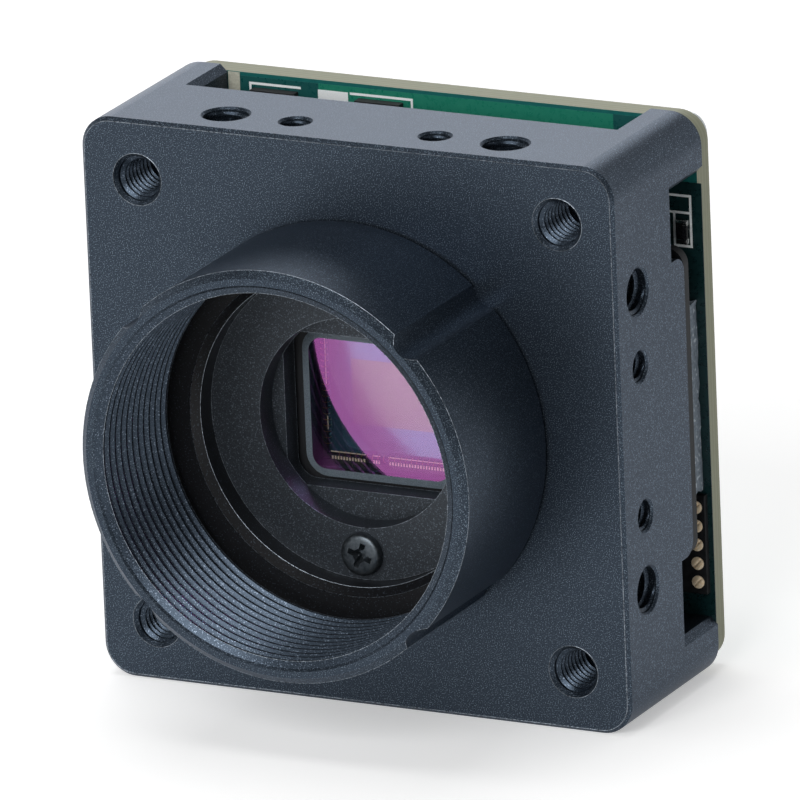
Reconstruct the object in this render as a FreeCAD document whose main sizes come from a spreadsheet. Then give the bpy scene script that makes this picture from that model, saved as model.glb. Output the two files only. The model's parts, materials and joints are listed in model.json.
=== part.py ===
"""Board-level machine vision camera with a C-mount lens ring.

The row frame stands on the bottom face: origin midway between the two M3 holes of the bottom
side, +X right, +Y towards the back, +Z up, and the lens ring looks along -Y.

Every piece is drawn in the camera frame instead: x right, y up and z forward along the optical
axis, from the centre of the housing's front face.  A depth is measured backwards from that face,
so a plane at a depth lies at z = -depth.  All pieces carry the same Placement, which turns the
camera frame into the row frame.
"""
import FreeCAD, Part
import os

import Sketcher

V = FreeCAD.Vector
doc = FreeCAD.newDocument("vision_camera")

# ---------------------------------------------------------------- driving dimensions (mm)
SIZES = [
    # housing: one machined block with the lens ring on its front
    ("housing_size", 38.0, "side of the square housing"),
    ("housing_depth", 13.2, "front face to the back of the corner posts"),
    ("corner_radius", 2.15, "outer corner radius of the housing"),
    ("face_chamfer", 0.25, "chamfer round the front face"),
    ("wall_width", 4.0, "side wall, and side of a corner post"),
    ("notch_depth", 5.0, "how far a side wall stops short of the posts"),
    ("post_chamfer", 0.5, "chamfer on the outer edges of the notches"),
    ("tab_setback", 3.2, "right wall's tab, short of the back of the posts"),
    ("tab_top", 10.45, "tab's upper edge above the optical axis"),
    ("tab_bottom", 9.65, "tab's lower edge below the optical axis"),
    ("tab_corner", 1.1, "corner radius of the tab and of the plate on it"),
    ("board_pad_width", 5.4, "square pads in the cavity's corners for the sensor board"),
    # lens ring
    ("flange_focus", 17.526, "flange face to the image plane"),
    ("thread_diameter", 25.4, "major diameter of the lens thread"),
    ("thread_pitch", 0.79375, "lens thread, 32 turns to the inch"),
    ("thread_depth", 0.43, "lens thread, crest to root"),
    ("thread_relief", 0.5, "least plain bore between the thread and the ledge"),
    ("ring_wall", 1.05, "ring's wall outside the thread"),
    ("ring_chamfer", 0.45, "chamfer on the ring's outer edge"),
    ("mouth_chamfer", 0.15, "chamfer at the thread's mouth"),
    ("ledge_height", 1.56, "ledge behind the thread, ahead of the front face"),
    ("ledge_width", 2.1, "radial width of that ledge"),
    ("throat_chamfer", 0.5, "chamfer from the ledge into the throat"),
    ("grip_radius", 1.45, "radius of the four grooves along the ring"),
    ("grip_depth", 0.5, "depth of those grooves"),
    ("relief_width", 0.25, "relief at the ring's root, along the axis"),
    ("relief_depth", 0.2, "relief at the ring's root, into the ring"),
    # tapped holes
    ("front_spacing", 30.0, "square pattern in the front face"),
    ("front_thread", 3.0, "M3"),
    ("front_hole_depth", 5.0, "depth of those holes"),
    ("front_countersink", 0.25, "chamfer at their mouths"),
    ("side_row_depth", 3.15, "front face to the row of holes in each side"),
    ("side_wide_spacing", 20.0, "outer pair in each side"),
    ("side_wide_thread", 3.0, "M3"),
    ("side_close_spacing", 10.0, "inner pair in each side"),
    ("side_close_thread", 2.0, "M2"),
    ("side_hole_depth", 3.5, "depth of the side holes"),
    ("side_countersink", 0.15, "chamfer at their mouths"),
    # M1.6 screws
    ("screw_tap", 1.3, "tapped hole for an M1.6 screw"),
    ("screw_shank", 1.25, "shank diameter inside that hole"),
    ("screw_clearance", 1.8, "clearance hole for an M1.6 screw"),
    ("screw_head", 2.85, "head diameter"),
    ("screw_head_height", 0.55, "head height"),
    ("screw_engagement", 1.4, "thread length in the tapped hole"),
    ("screw_spare", 0.5, "tapped hole beyond the screw's end"),
    ("recess_span", 1.7, "cross recess, tip to tip"),
    ("recess_width", 0.36, "width of one slot of the cross"),
    ("recess_depth", 0.4, "depth of the cross"),
    # aperture plate behind the lens
    ("seat_depth", 2.4, "front face to the plate's seat"),
    ("plate_flange", 2.0, "thickness of the plate's round flange"),
    ("plate_clearance", 0.05, "radial gap between flange and throat"),
    ("plate_recess_diameter", 14.1, "round recess in the plate"),
    ("plate_web", 0.25, "flange left under that recess"),
    ("window_side_gap", 0.55, "window beyond the cover glass, left and right"),
    ("window_end_gap", 0.15, "window beyond the cover glass, top and bottom"),
    ("window_corner", 1.4, "corner radius of the window"),
    ("boss_wall", 0.75, "wall round the window behind the flange"),
    ("boss_clearance", 0.1, "gap between that wall and the housing"),
    ("gasket_thickness", 0.4, "dust gasket between plate and sensor package"),
    ("gasket_width", 0.6, "width of the gasket's frame"),
    # image sensor
    ("sensor_depth", 5.626, "front face to the image plane"),
    ("die_setback", 1.526, "front of the sensor package to the image plane"),
    ("package_gap", 0.1, "housing's front wall to the package"),
    ("package_margin", 0.15, "package beyond the gasket"),
    ("package_floor", 0.3, "package below the die"),
    ("bond_ledge", 0.35, "width of the ledge that carries the bond fingers"),
    ("die_width", 9.6, "sensor die"),
    ("die_height", 8.0, "sensor die"),
    ("die_thickness", 0.3, "sensor die"),
    ("die_gap", 0.15, "gap round the die"),
    ("glass_side_lap", 0.25, "cover glass over the package's rim, left and right"),
    ("glass_end_lap", 0.55, "cover glass over the package's rim, top and bottom"),
    ("glass_thickness", 0.65, "cover glass"),
    ("glass_corner", 0.65, "corner radius of the cover glass"),
    ("glass_bevel", 0.3, "ground bevel round the glass"),
    ("wire_radius", 0.02, "bond wire"),
    ("wire_pitch", 0.4, "spacing of the bond wires"),
    # sensor board
    ("sensor_board_clearance", 0.6, "gap between sensor board and side walls"),
    ("sensor_board_thickness", 1.2, "sensor board"),
    ("shim_thickness", 0.2, "back-focus shims under the sensor board"),
    ("shim_diameter", 3.6, "outer diameter of a shim"),
    # connector between the boards
    ("stack_inset", 6.0, "connector pair from the cavity's left wall"),
    ("plug_width", 4.4, "plug and socket"),
    ("plug_length", 16.0, "plug and socket"),
    ("plug_height", 2.2, "plug's base"),
    ("tongue_width", 1.2, "plug's tongue"),
    ("tongue_height", 1.5, "plug's tongue"),
    ("tongue_clearance", 0.15, "gap round the tongue in the socket"),
    # main board
    ("board_inset", 0.4, "main board's edge inside the housing's sides"),
    ("board_thickness", 1.8, "main board"),
    ("board_corner", 1.9, "main board's corner radius"),
    ("post_screw_inset", 2.0, "main board screws from the housing's sides"),
    ("processor_width", 11.0, "image processor"),
    ("processor_height", 1.2, "image processor"),
    ("processor_inset", 9.0, "image processor's centre from the right side"),
    # heat path on the right side
    ("spreader_thickness", 0.75, "black plate on the tab"),
    ("spreader_edge", 0.05, "plate's right edge inside the housing's side"),
    ("spreader_overlap", 0.35, "plate beyond the tab, above and below"),
    ("pad_edge", 0.7, "thermal pad's right edge inside the housing's side"),
    ("pad_wrap", 1.0, "thermal pad beyond the processor"),
    # contacts at the lower right edge of the main board
    ("contact_pitch", 1.27, "contact spacing"),
    ("contact_gap", 0.2, "thermal pad to the contacts' base"),
    ("contact_post_gap", 1.62, "contacts' base to the corner post below it"),
    ("contact_inset", 0.65, "contacts from the main board's edge"),
    ("contact_diameter", 0.86, "contact head"),
    ("contact_rise", 0.15, "contact head above its base"),
    ("contact_base_height", 0.5, "black base on the board"),
    ("contact_base_width", 2.4, "black base"),
    ("contact_base_margin", 0.8, "base beyond the end contacts"),
    ("contact_base_inset", 0.05, "base from the main board's edge"),
    # small electronics
    ("chip_length", 1.6, "chip capacitor or resistor"),
    ("chip_width", 0.8, "chip capacitor or resistor"),
    ("chip_height", 0.45, "chip capacitor or resistor"),
    ("chip_pitch", 1.6, "spacing in a row of capacitors"),
    ("front_row_x", -1.6, "middle of the capacitor rows on the main board's front"),
    ("front_row_inset", 6.6, "those rows from the upper and lower edges"),
    ("sensor_row_y", 6.0, "capacitor rows on the sensor board, from the axis"),
    ("memory_row_gap", 2.5, "capacitor rows from the memory chip"),
    ("resistor_inset", 1.05, "resistor from the board's right edge"),
    ("resistor_rise", 0.55, "resistor's middle above the tab's top"),
    ("inductor_size", 3.0, "power inductor"),
    ("inductor_height", 1.5, "power inductor"),
    ("inductor_pitch", 4.0, "spacing of the inductors"),
    ("power_inset", 3.5, "inductors and regulator from the board's left edge"),
    ("part_gap", 1.5, "regulator to the nearest inductor"),
    ("regulator_width", 3.0, "regulator"),
    ("regulator_height", 0.8, "regulator"),
    ("oscillator_width", 3.2, "clock oscillator"),
    ("oscillator_length", 2.5, "clock oscillator"),
    ("oscillator_height", 0.8, "clock oscillator"),
    ("oscillator_y", 9.0, "clock oscillator above the axis"),
    ("memory_width", 8.0, "memory chip"),
    ("memory_length", 9.0, "memory chip"),
    ("memory_height", 1.0, "memory chip"),
    ("memory_inset", 9.6, "memory chip's middle from the board's right edge"),
    ("memory_y", 3.5, "memory chip's middle above the axis"),
    ("driver_width", 3.2, "driver chips at the board's upper edge"),
    ("driver_length", 1.7, "driver chips"),
    ("driver_height", 0.7, "driver chips"),
    ("driver_top_inset", 0.95, "driver chips from the board's upper edge"),
    ("driver_side_inset", 7.1, "first driver chip from the board's left edge"),
    ("driver_pitch", 7.6, "spacing of the driver chips"),
    # sockets on the back
    ("port_width", 8.9, "data port's shell"),
    ("port_height", 3.3, "data port's shell"),
    ("port_length", 4.8, "data port's shell, out from the board"),
    ("port_wall", 0.3, "data port's sheet"),
    ("port_x", -3.0, "data port's centre"),
    ("port_y", -8.5, "data port's centre"),
    ("tongue_thickness", 0.7, "data port's contact tongue"),
    ("io_pitch", 1.25, "signal socket's contact spacing"),
    ("io_width", 9.5, "signal socket"),
    ("io_depth", 3.4, "signal socket"),
    ("io_height", 3.6, "signal socket, out from the board"),
    ("io_wall", 0.6, "signal socket's wall"),
    ("io_pin", 0.4, "side of a signal pin"),
    ("io_x", -3.0, "signal socket's centre"),
    ("io_y", 10.5, "signal socket's centre"),
]
FRONT_HOLES = 4
IO_PINS = 6
EDGE_CONTACTS = 5
INDUCTORS = 3
DRIVERS = 2
FRONT_COLUMNS = 4
REAR_COLUMNS = 5

sheet = doc.addObject("Spreadsheet::Sheet", "Sizes")
for row, (alias, value, meaning) in enumerate(SIZES, start=1):
    sheet.set(f"A{row}", meaning)
    sheet.set(f"B{row}", str(value))
    sheet.setAlias(f"B{row}", alias)
doc.recompute()


def mm(alias):
    """A size from the sheet, for choosing edges and for shapes made in code."""
    return float(sheet.get(alias))


# Places that several pieces share, as expressions of the sheet.  Depths grow backwards.
HALF = "Sizes.housing_size / 2"
CAVITY = "(Sizes.housing_size - 2 * Sizes.wall_width)"
WALL_DEPTH = "(Sizes.housing_depth - Sizes.notch_depth)"
TAB_DEPTH = "(Sizes.housing_depth - Sizes.tab_setback)"
RING_HEIGHT = "(Sizes.flange_focus - Sizes.sensor_depth)"
RING_RADIUS = "(Sizes.thread_diameter / 2 + Sizes.ring_wall)"
THROAT_RADIUS = "(Sizes.thread_diameter / 2 - Sizes.ledge_width)"

# the lens thread's 60 degree form: flank and flats along the axis, and the first and last crest
ROOT_RADIUS = "(Sizes.thread_diameter / 2)"
CREST_RADIUS = f"({ROOT_RADIUS} - Sizes.thread_depth)"
FLANK = "(Sizes.thread_depth / sqrt(3))"
ROOT_FLAT = "(Sizes.thread_pitch / 8)"
CREST_FLAT = f"(Sizes.thread_pitch - {ROOT_FLAT} - 2 * {FLANK})"
CRESTS = (f"floor(({RING_HEIGHT} - Sizes.mouth_chamfer - Sizes.ledge_height"
          " - Sizes.thread_relief) / Sizes.thread_pitch)")
THREAD_START = f"({RING_HEIGHT} - Sizes.mouth_chamfer - {FLANK})"
THREAD_END = f"({THREAD_START} - ({CRESTS} - 1) * Sizes.thread_pitch - {CREST_FLAT})"

# from the die outwards: well, ledge, glass, window, the wall round it and the package
WELL_WIDTH = "(Sizes.die_width + 2 * Sizes.die_gap)"
WELL_HEIGHT = "(Sizes.die_height + 2 * Sizes.die_gap)"
LEDGE_WIDTH = f"({WELL_WIDTH} + 2 * Sizes.bond_ledge)"
LEDGE_HEIGHT = f"({WELL_HEIGHT} + 2 * Sizes.bond_ledge)"
GLASS_WIDTH = f"({LEDGE_WIDTH} + 2 * Sizes.glass_side_lap)"
GLASS_HEIGHT = f"({LEDGE_HEIGHT} + 2 * Sizes.glass_end_lap)"
WINDOW_WIDTH = f"({GLASS_WIDTH} + 2 * Sizes.window_side_gap)"
WINDOW_HEIGHT = f"({GLASS_HEIGHT} + 2 * Sizes.window_end_gap)"
BOSS_WIDTH = f"({WINDOW_WIDTH} + 2 * Sizes.boss_wall)"
BOSS_HEIGHT = f"({WINDOW_HEIGHT} + 2 * Sizes.boss_wall)"

PLATE_RADIUS = f"({THROAT_RADIUS} - Sizes.plate_clearance)"
PLATE_FRONT = "(Sizes.seat_depth - Sizes.plate_flange)"
PLATE_SCREW_Y = f"((Sizes.plate_recess_diameter / 2 + {PLATE_RADIUS}) / 2)"
PACKAGE_FRONT = "(Sizes.sensor_depth - Sizes.die_setback)"
FLOOR_DEPTH = f"({PACKAGE_FRONT} - Sizes.package_gap)"
BOSS_BACK = f"({PACKAGE_FRONT} - Sizes.gasket_thickness)"
SENSOR_BOARD_FRONT = "(Sizes.sensor_depth + Sizes.die_thickness + Sizes.package_floor)"
SENSOR_BOARD_BACK = f"({SENSOR_BOARD_FRONT} + Sizes.sensor_board_thickness)"
PAD_DEPTH = f"({SENSOR_BOARD_FRONT} - Sizes.shim_thickness)"
SENSOR_SCREW = f"({CAVITY} / 2 - Sizes.board_pad_width + Sizes.shim_diameter / 2)"

BOARD_FRONT = "Sizes.housing_depth"
BOARD_BACK = "(Sizes.housing_depth + Sizes.board_thickness)"
BOARD_EDGE = f"({HALF} - Sizes.board_inset)"
POST_SCREW = f"({HALF} - Sizes.post_screw_inset)"
PROCESSOR_X = f"({HALF} - Sizes.processor_inset)"
PAD_LEFT = f"({PROCESSOR_X} - Sizes.processor_width / 2 - Sizes.pad_wrap)"
PAD_HALF = "(Sizes.processor_width / 2 + Sizes.pad_wrap)"
STACK_X = f"(Sizes.stack_inset - {CAVITY} / 2)"

# the contacts stand on the lower right post's side, and the processor and its pad above them
CONTACT_BASE_LENGTH = (f"({EDGE_CONTACTS - 1} * Sizes.contact_pitch"
                       " + 2 * Sizes.contact_base_margin)")
CONTACT_BASE_TOP = f"({CONTACT_BASE_LENGTH} + Sizes.contact_post_gap - {CAVITY} / 2)"
PROCESSOR_Y = f"({CONTACT_BASE_TOP} + Sizes.contact_gap + {PAD_HALF})"
QUARTERS = [(1, 1), (-1, 1), (-1, -1), (1, -1)]


# ---------------------------------------------------------------- helpers
def origin_feature(body, role):
    return next(f for f in body.Origin.OriginFeatures if f.Role == role)


def put_in_row_frame(piece):
    """Turn a finished piece from the camera frame into the row frame."""
    piece.Placement = FreeCAD.Placement(V(0, 0, 0), FreeCAD.Rotation(V(1, 0, 0), 90))
    piece.setExpression("Placement.Base.y", "-Sizes.side_row_depth")
    piece.setExpression("Placement.Base.z", HALF)


def new_body(label):
    body = doc.addObject("PartDesign::Body", label)
    body.Label = label
    return body


def sketch_at(body, depth, role="XY_Plane"):
    """A sketch that faces forward at a depth, or on another plane, offset along its normal."""
    sketch = body.newObject("Sketcher::SketchObject", f"{body.Name}_sketch")
    sketch.AttachmentSupport = [(origin_feature(body, role), "")]
    sketch.MapMode = "FlatFace"
    offset = f"-({depth})" if role == "XY_Plane" else depth
    sketch.setExpression("AttachmentOffset.Base.z", offset)
    return sketch


def bind(sketch, constraint, expression):
    index = sketch.addConstraint(constraint)
    sketch.setExpression(f"Constraints[{index}]", expression)


def rectangle(sketch, width, height, x="0", y="0"):
    """A rectangle about (x, y)."""
    first = sketch.GeometryCount
    corners = [V(-1, -1), V(1, -1), V(1, 1), V(-1, 1)]
    for i in range(4):
        sketch.addGeometry(Part.LineSegment(corners[i], corners[(i + 1) % 4]))
    for i in range(4):
        ends = (first + i, 2, first + (i + 1) % 4, 1)
        sketch.addConstraint(Sketcher.Constraint("Coincident", *ends))
    sketch.addConstraint(Sketcher.Constraint("Horizontal", first))
    sketch.addConstraint(Sketcher.Constraint("Horizontal", first + 2))
    sketch.addConstraint(Sketcher.Constraint("Vertical", first + 1))
    sketch.addConstraint(Sketcher.Constraint("Vertical", first + 3))
    bind(sketch, Sketcher.Constraint("DistanceX", first, 1, first, 2, 2.0), width)
    bind(sketch, Sketcher.Constraint("DistanceY", first + 1, 1, first + 1, 2, 2.0), height)
    bind(sketch, Sketcher.Constraint("DistanceX", -1, 1, first, 1, -1.0), f"{x} - ({width}) / 2")
    bind(sketch, Sketcher.Constraint("DistanceY", -1, 1, first, 1, -1.0), f"{y} - ({height}) / 2")


def circle(sketch, radius, x="0", y="0"):
    """A circle about (x, y)."""
    index = sketch.addGeometry(Part.Circle(V(1, 1), V(0, 0, 1), 1.0))
    bind(sketch, Sketcher.Constraint("Radius", index, 1.0), radius)
    bind(sketch, Sketcher.Constraint("DistanceX", -1, 1, index, 3, 1.0), x)
    bind(sketch, Sketcher.Constraint("DistanceY", -1, 1, index, 3, 1.0), y)


def polygon(sketch, points):
    """A closed outline through (x, y) points, each coordinate an expression."""
    first = sketch.GeometryCount
    count = len(points)
    # rough start points on a circle: the constraints below place them
    spots = [FreeCAD.Rotation(V(0, 0, 1), 360 * i / count).multVec(V(2, 0)) + V(5, 0)
             for i in range(count)]
    for i in range(count):
        sketch.addGeometry(Part.LineSegment(spots[i], spots[(i + 1) % count]))
    for i in range(count):
        ends = (first + i, 2, first + (i + 1) % count, 1)
        sketch.addConstraint(Sketcher.Constraint("Coincident", *ends))
    for i, (x, y) in enumerate(points):
        bind(sketch, Sketcher.Constraint("DistanceX", -1, 1, first + i, 1, 1.0), x)
        bind(sketch, Sketcher.Constraint("DistanceY", -1, 1, first + i, 1, 1.0), y)


def pad(body, sketch, length, backwards=True):
    feature = body.newObject("PartDesign::Pad", f"{body.Name}_pad")
    feature.Profile = sketch
    feature.Reversed = backwards
    feature.setExpression("Length", length)
    doc.recompute()
    return feature


def checked_cut(body, feature, before):
    """Recompute a cut, and stop if it took nothing away."""
    doc.recompute()
    if feature.Shape.Volume > before - 1e-6:
        raise RuntimeError(f"{feature.Label} in {body.Label} cuts nothing")
    return feature


def pocket(body, sketch, length, forwards=False):
    """Cut from the sketch backwards into the piece, or forwards from its back."""
    before = body.Tip.Shape.Volume
    feature = body.newObject("PartDesign::Pocket", f"{body.Name}_pocket")
    feature.Profile = sketch
    feature.Reversed = forwards
    feature.setExpression("Length", length)
    return checked_cut(body, feature, before)


def turned_cut(body, points):
    """Cut a profile of (radius, z) points, turned about the optical axis."""
    before = body.Tip.Shape.Volume
    sketch = sketch_at(body, "0", "XZ_Plane")
    polygon(sketch, points)
    feature = body.newObject("PartDesign::Groove", f"{body.Name}_groove")
    feature.Profile = sketch
    feature.ReferenceAxis = (sketch, ["V_Axis"])
    feature.Angle = 360
    return checked_cut(body, feature, before)


def polar_pattern(body, originals, count):
    feature = body.newObject("PartDesign::PolarPattern", f"{body.Name}_pattern")
    feature.Originals = originals
    feature.Axis = (origin_feature(body, "Z_Axis"), [""])
    feature.Angle = 360
    feature.Occurrences = count
    body.Tip = feature
    doc.recompute()
    return feature


def row_backwards(body, originals, spacing, count):
    """Repeat a cut along the optical axis, away from the lens."""
    feature = body.newObject("PartDesign::LinearPattern", f"{body.Name}_row")
    feature.Originals = originals
    feature.Direction = (origin_feature(body, "Z_Axis"), [""])
    feature.Reversed = True
    feature.setExpression("Occurrences", count)
    feature.setExpression("Length", f"({spacing}) * ({count} - 1)")
    body.Tip = feature
    doc.recompute()
    return feature


def sensor_stack(part):
    """Width and height of the cover glass or the window, for choosing their corner edges."""
    rim = 2 * (mm("die_gap") + mm("bond_ledge"))
    width = mm("die_width") + rim + 2 * mm("glass_side_lap")
    height = mm("die_height") + rim + 2 * mm("glass_end_lap")
    if part == "window":
        width += 2 * mm("window_side_gap")
        height += 2 * mm("window_end_gap")
    return width, height


def edge_names(shape, wanted):
    return [f"Edge{i}" for i, edge in enumerate(shape.Edges, 1) if wanted(edge)]


def dress(body, kind, size, wanted):
    """A PartDesign Fillet or Chamfer on the edges that a test picks."""
    base = body.Tip
    names = edge_names(base.Shape, wanted)
    if not names:
        raise RuntimeError(f"{body.Label}: no edge for a {kind}")
    feature = body.newObject(f"PartDesign::{kind}", f"{body.Name}_{kind.lower()}")
    feature.Base = (base, names)
    feature.setExpression("Radius" if kind == "Fillet" else "Size", size)
    doc.recompute()
    return feature


def near(a, b):
    return abs(a - b) < 1e-4


def is_line(edge, direction):
    if not isinstance(edge.Curve, Part.Line):
        return False
    return near(abs(edge.Curve.Direction.dot(direction)), 1.0)


def is_circle(edge, radius, z=None):
    """A circle or arc of a radius, at a height z if one is given."""
    if not isinstance(edge.Curve, Part.Circle) or not near(edge.Curve.Radius, radius):
        return False
    return z is None or near(edge.Curve.Center.z, z)


def corner_edges(half_x, half_y, x=0.0, y=0.0):
    """Test for the edges along z at the corners of a rectangle."""
    def wanted(edge):
        if not is_line(edge, V(0, 0, 1)):
            return False
        middle = edge.CenterOfMass
        return near(abs(middle.x - x), half_x) and near(abs(middle.y - y), half_y)
    return wanted


def slab(label, width, height, thickness, depth, x="0", y="0"):
    """A body that is a rectangular slab; depth is that of its front face."""
    body = new_body(label)
    sketch = sketch_at(body, depth)
    rectangle(sketch, width, height, x, y)
    pad(body, sketch, thickness)
    return body


finished = []


def finish(piece):
    put_in_row_frame(piece)
    finished.append(piece)
    return piece


def repeat(label, master, places):
    """One node of separate copies of a master piece.

    A place is (x, y, depth, facing): the master's own z = 0 goes to the depth, and its +z looks
    forwards, or backwards where facing is "back".
    """
    links = []
    for x, y, depth, facing in places:
        link = doc.addObject("App::Link", f"{label}_copy")
        link.LinkedObject = master
        angle = 180 if facing == "back" else 0
        link.Placement = FreeCAD.Placement(V(0, 0, 0), FreeCAD.Rotation(V(1, 0, 0), angle))
        link.setExpression("Placement.Base.x", x)
        link.setExpression("Placement.Base.y", y)
        link.setExpression("Placement.Base.z", f"-({depth})")
        links.append(link)
    group = doc.addObject("Part::Compound", label)
    group.Label = label
    group.Links = links
    return finish(group)


def four_corners(distance, depth, facing):
    return [(f"{i} * {distance}", f"{j} * {distance}", depth, facing) for i, j in QUARTERS]


# ---------------------------------------------------------------- housing
def housing():
    body = new_body("housing")
    half = mm("housing_size") / 2
    depth = mm("housing_depth")

    block = sketch_at(body, "0")
    rectangle(block, "Sizes.housing_size", "Sizes.housing_size")
    pad(body, block, "Sizes.housing_depth")
    dress(body, "Fillet", "Sizes.corner_radius", corner_edges(half, half))

    def front_outline(edge):
        middle = edge.CenterOfMass
        return near(middle.z, 0) and max(abs(middle.x), abs(middle.y)) > half / 2
    dress(body, "Chamfer", "Sizes.face_chamfer", front_outline)

    ring = sketch_at(body, "0")
    circle(ring, RING_RADIUS)
    pad(body, ring, RING_HEIGHT, backwards=False)

    housing_cavity(body)
    housing_notches(body, half, depth)
    housing_ring(body)
    housing_holes(body)
    return finish(body)


def housing_cavity(body):
    """The bay for the boards, open at the back, and the bore with the lens thread as rings."""
    bay = sketch_at(body, BOARD_FRONT)
    rectangle(bay, CAVITY, CAVITY)
    pocket(body, bay, f"Sizes.housing_depth - {PAD_DEPTH}", forwards=True)

    # a cross-shaped deeper floor leaves the four square pads of the sensor board
    inner = f"{CAVITY} - 2 * Sizes.board_pad_width"
    for width, height in ((CAVITY, inner), (inner, CAVITY)):
        arm = sketch_at(body, PAD_DEPTH)
        rectangle(arm, width, height)
        pocket(body, arm, f"{PAD_DEPTH} - {FLOOR_DEPTH}", forwards=True)

    turned_cut(body, [
        ("0", RING_HEIGHT),
        (f"{ROOT_RADIUS} + Sizes.mouth_chamfer", RING_HEIGHT),
        (ROOT_RADIUS, f"{RING_HEIGHT} - Sizes.mouth_chamfer"),
        (CREST_RADIUS, THREAD_START),
        (CREST_RADIUS, THREAD_END),
        (ROOT_RADIUS, f"{THREAD_END} - {FLANK}"),
        (ROOT_RADIUS, "Sizes.ledge_height"),
        (f"{THROAT_RADIUS} + Sizes.throat_chamfer", "Sizes.ledge_height"),
        (THROAT_RADIUS, "Sizes.ledge_height - Sizes.throat_chamfer"),
        (THROAT_RADIUS, "-Sizes.seat_depth"),
        ("0", "-Sizes.seat_depth"),
    ])
    first = f"{THREAD_START} - {CREST_FLAT}"
    clear = f"{CREST_RADIUS} - Sizes.thread_depth"
    groove = turned_cut(body, [
        (clear, first),
        (CREST_RADIUS, first),
        (ROOT_RADIUS, f"{first} - {FLANK}"),
        (ROOT_RADIUS, f"{first} - {FLANK} - {ROOT_FLAT}"),
        (CREST_RADIUS, f"{first} - 2 * {FLANK} - {ROOT_FLAT}"),
        (clear, f"{first} - 2 * {FLANK} - {ROOT_FLAT}"),
    ])
    row_backwards(body, [groove], "Sizes.thread_pitch", f"{CRESTS} - 1")

    opening = sketch_at(body, "Sizes.seat_depth")
    rectangle(opening, f"{BOSS_WIDTH} + 2 * Sizes.boss_clearance",
              f"{BOSS_HEIGHT} + 2 * Sizes.boss_clearance")
    pocket(body, opening, f"{FLOOR_DEPTH} - Sizes.seat_depth")


def housing_notches(body, half, depth):
    """Mill each side wall down between the posts, and leave the tab on the right one."""
    notch = sketch_at(body, BOARD_FRONT)
    rectangle(notch, CAVITY, "Sizes.wall_width", y=f"{HALF} - Sizes.wall_width / 2")
    cut = pocket(body, notch, "Sizes.notch_depth", forwards=True)
    polar_pattern(body, [cut], 4)

    tab = sketch_at(body, TAB_DEPTH)
    rectangle(tab, "Sizes.wall_width", "Sizes.tab_top + Sizes.tab_bottom",
              x=f"{HALF} - Sizes.wall_width / 2", y="(Sizes.tab_top - Sizes.tab_bottom) / 2")
    pad(body, tab, f"{TAB_DEPTH} - {WALL_DEPTH}", backwards=False)

    tab_back = -(depth - mm("tab_setback"))

    def tab_corners(edge):
        return is_line(edge, V(1, 0, 0)) and near(edge.CenterOfMass.z, tab_back)
    dress(body, "Fillet", "Sizes.tab_corner", tab_corners)

    post = half - mm("wall_width")
    wall_back = -(depth - mm("notch_depth"))

    def post_edges(edge):
        if not is_line(edge, V(0, 0, 1)) or edge.CenterOfMass.z > wall_back:
            return False
        sides = sorted((abs(edge.CenterOfMass.x), abs(edge.CenterOfMass.y)))
        return near(sides[0], post) and near(sides[1], half)
    dress(body, "Chamfer", "Sizes.post_chamfer", post_edges)


def housing_ring(body):
    """Finish the outside of the lens ring: edge chamfer, root relief and the four grooves."""
    radius = mm("thread_diameter") / 2 + mm("ring_wall")
    top = mm("flange_focus") - mm("sensor_depth")
    dress(body, "Chamfer", "Sizes.ring_chamfer", lambda edge: is_circle(edge, radius, top))
    turned_cut(body, [
        (f"{RING_RADIUS} - Sizes.relief_depth", "0"),
        (f"{RING_RADIUS} + Sizes.relief_depth", "0"),
        (f"{RING_RADIUS} + Sizes.relief_depth", "Sizes.relief_width"),
        (f"{RING_RADIUS} - Sizes.relief_depth", "Sizes.relief_width"),
    ])
    grip = sketch_at(body, f"-{RING_HEIGHT}")
    reach = f"({RING_RADIUS} + Sizes.grip_radius - Sizes.grip_depth) * sqrt(0.5)"
    circle(grip, "Sizes.grip_radius", reach, reach)
    cut = pocket(body, grip, RING_HEIGHT)
    polar_pattern(body, [cut], 4)


def housing_holes(body):
    """Tapped holes in the front face, in all four sides, and for the M1.6 screws."""
    front = sketch_at(body, "0")
    corner = "Sizes.front_spacing / 2"
    circle(front, "Sizes.front_thread / 2", corner, corner)
    cut = pocket(body, front, "Sizes.front_hole_depth")
    polar_pattern(body, [cut], FRONT_HOLES)
    radius = mm("front_thread") / 2
    dress(body, "Chamfer", "Sizes.front_countersink",
          lambda edge: is_circle(edge, radius, 0) and not near(edge.Curve.Center.x, 0))

    side = sketch_at(body, HALF, "XZ_Plane")
    for spacing, thread in (("Sizes.side_wide_spacing", "Sizes.side_wide_thread"),
                            ("Sizes.side_close_spacing", "Sizes.side_close_thread")):
        for sign in ("-", ""):
            circle(side, f"{thread} / 2", f"{sign}{spacing} / 2", "-Sizes.side_row_depth")
    cut = pocket(body, side, "Sizes.side_hole_depth")
    polar_pattern(body, [cut], 4)
    half = mm("housing_size") / 2

    def side_mouths(edge):
        if not isinstance(edge.Curve, Part.Circle):
            return False
        centre = edge.Curve.Center
        outside = near(max(abs(centre.x), abs(centre.y)), half)
        return outside and near(centre.z, -mm("side_row_depth"))
    dress(body, "Chamfer", "Sizes.side_countersink", side_mouths)

    tap = "Sizes.screw_tap / 2"
    deep = "Sizes.screw_engagement + Sizes.screw_spare"
    plate = sketch_at(body, "Sizes.seat_depth")
    circle(plate, tap, "0", PLATE_SCREW_Y)
    circle(plate, tap, "0", f"-{PLATE_SCREW_Y}")
    pocket(body, plate, f"{FLOOR_DEPTH} - Sizes.seat_depth")
    for level, distance in ((PAD_DEPTH, SENSOR_SCREW), (BOARD_FRONT, POST_SCREW)):
        taps = sketch_at(body, level)
        for i, j in QUARTERS:
            circle(taps, tap, f"{i} * {distance}", f"{j} * {distance}")
        pocket(body, taps, deep, forwards=True)


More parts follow.
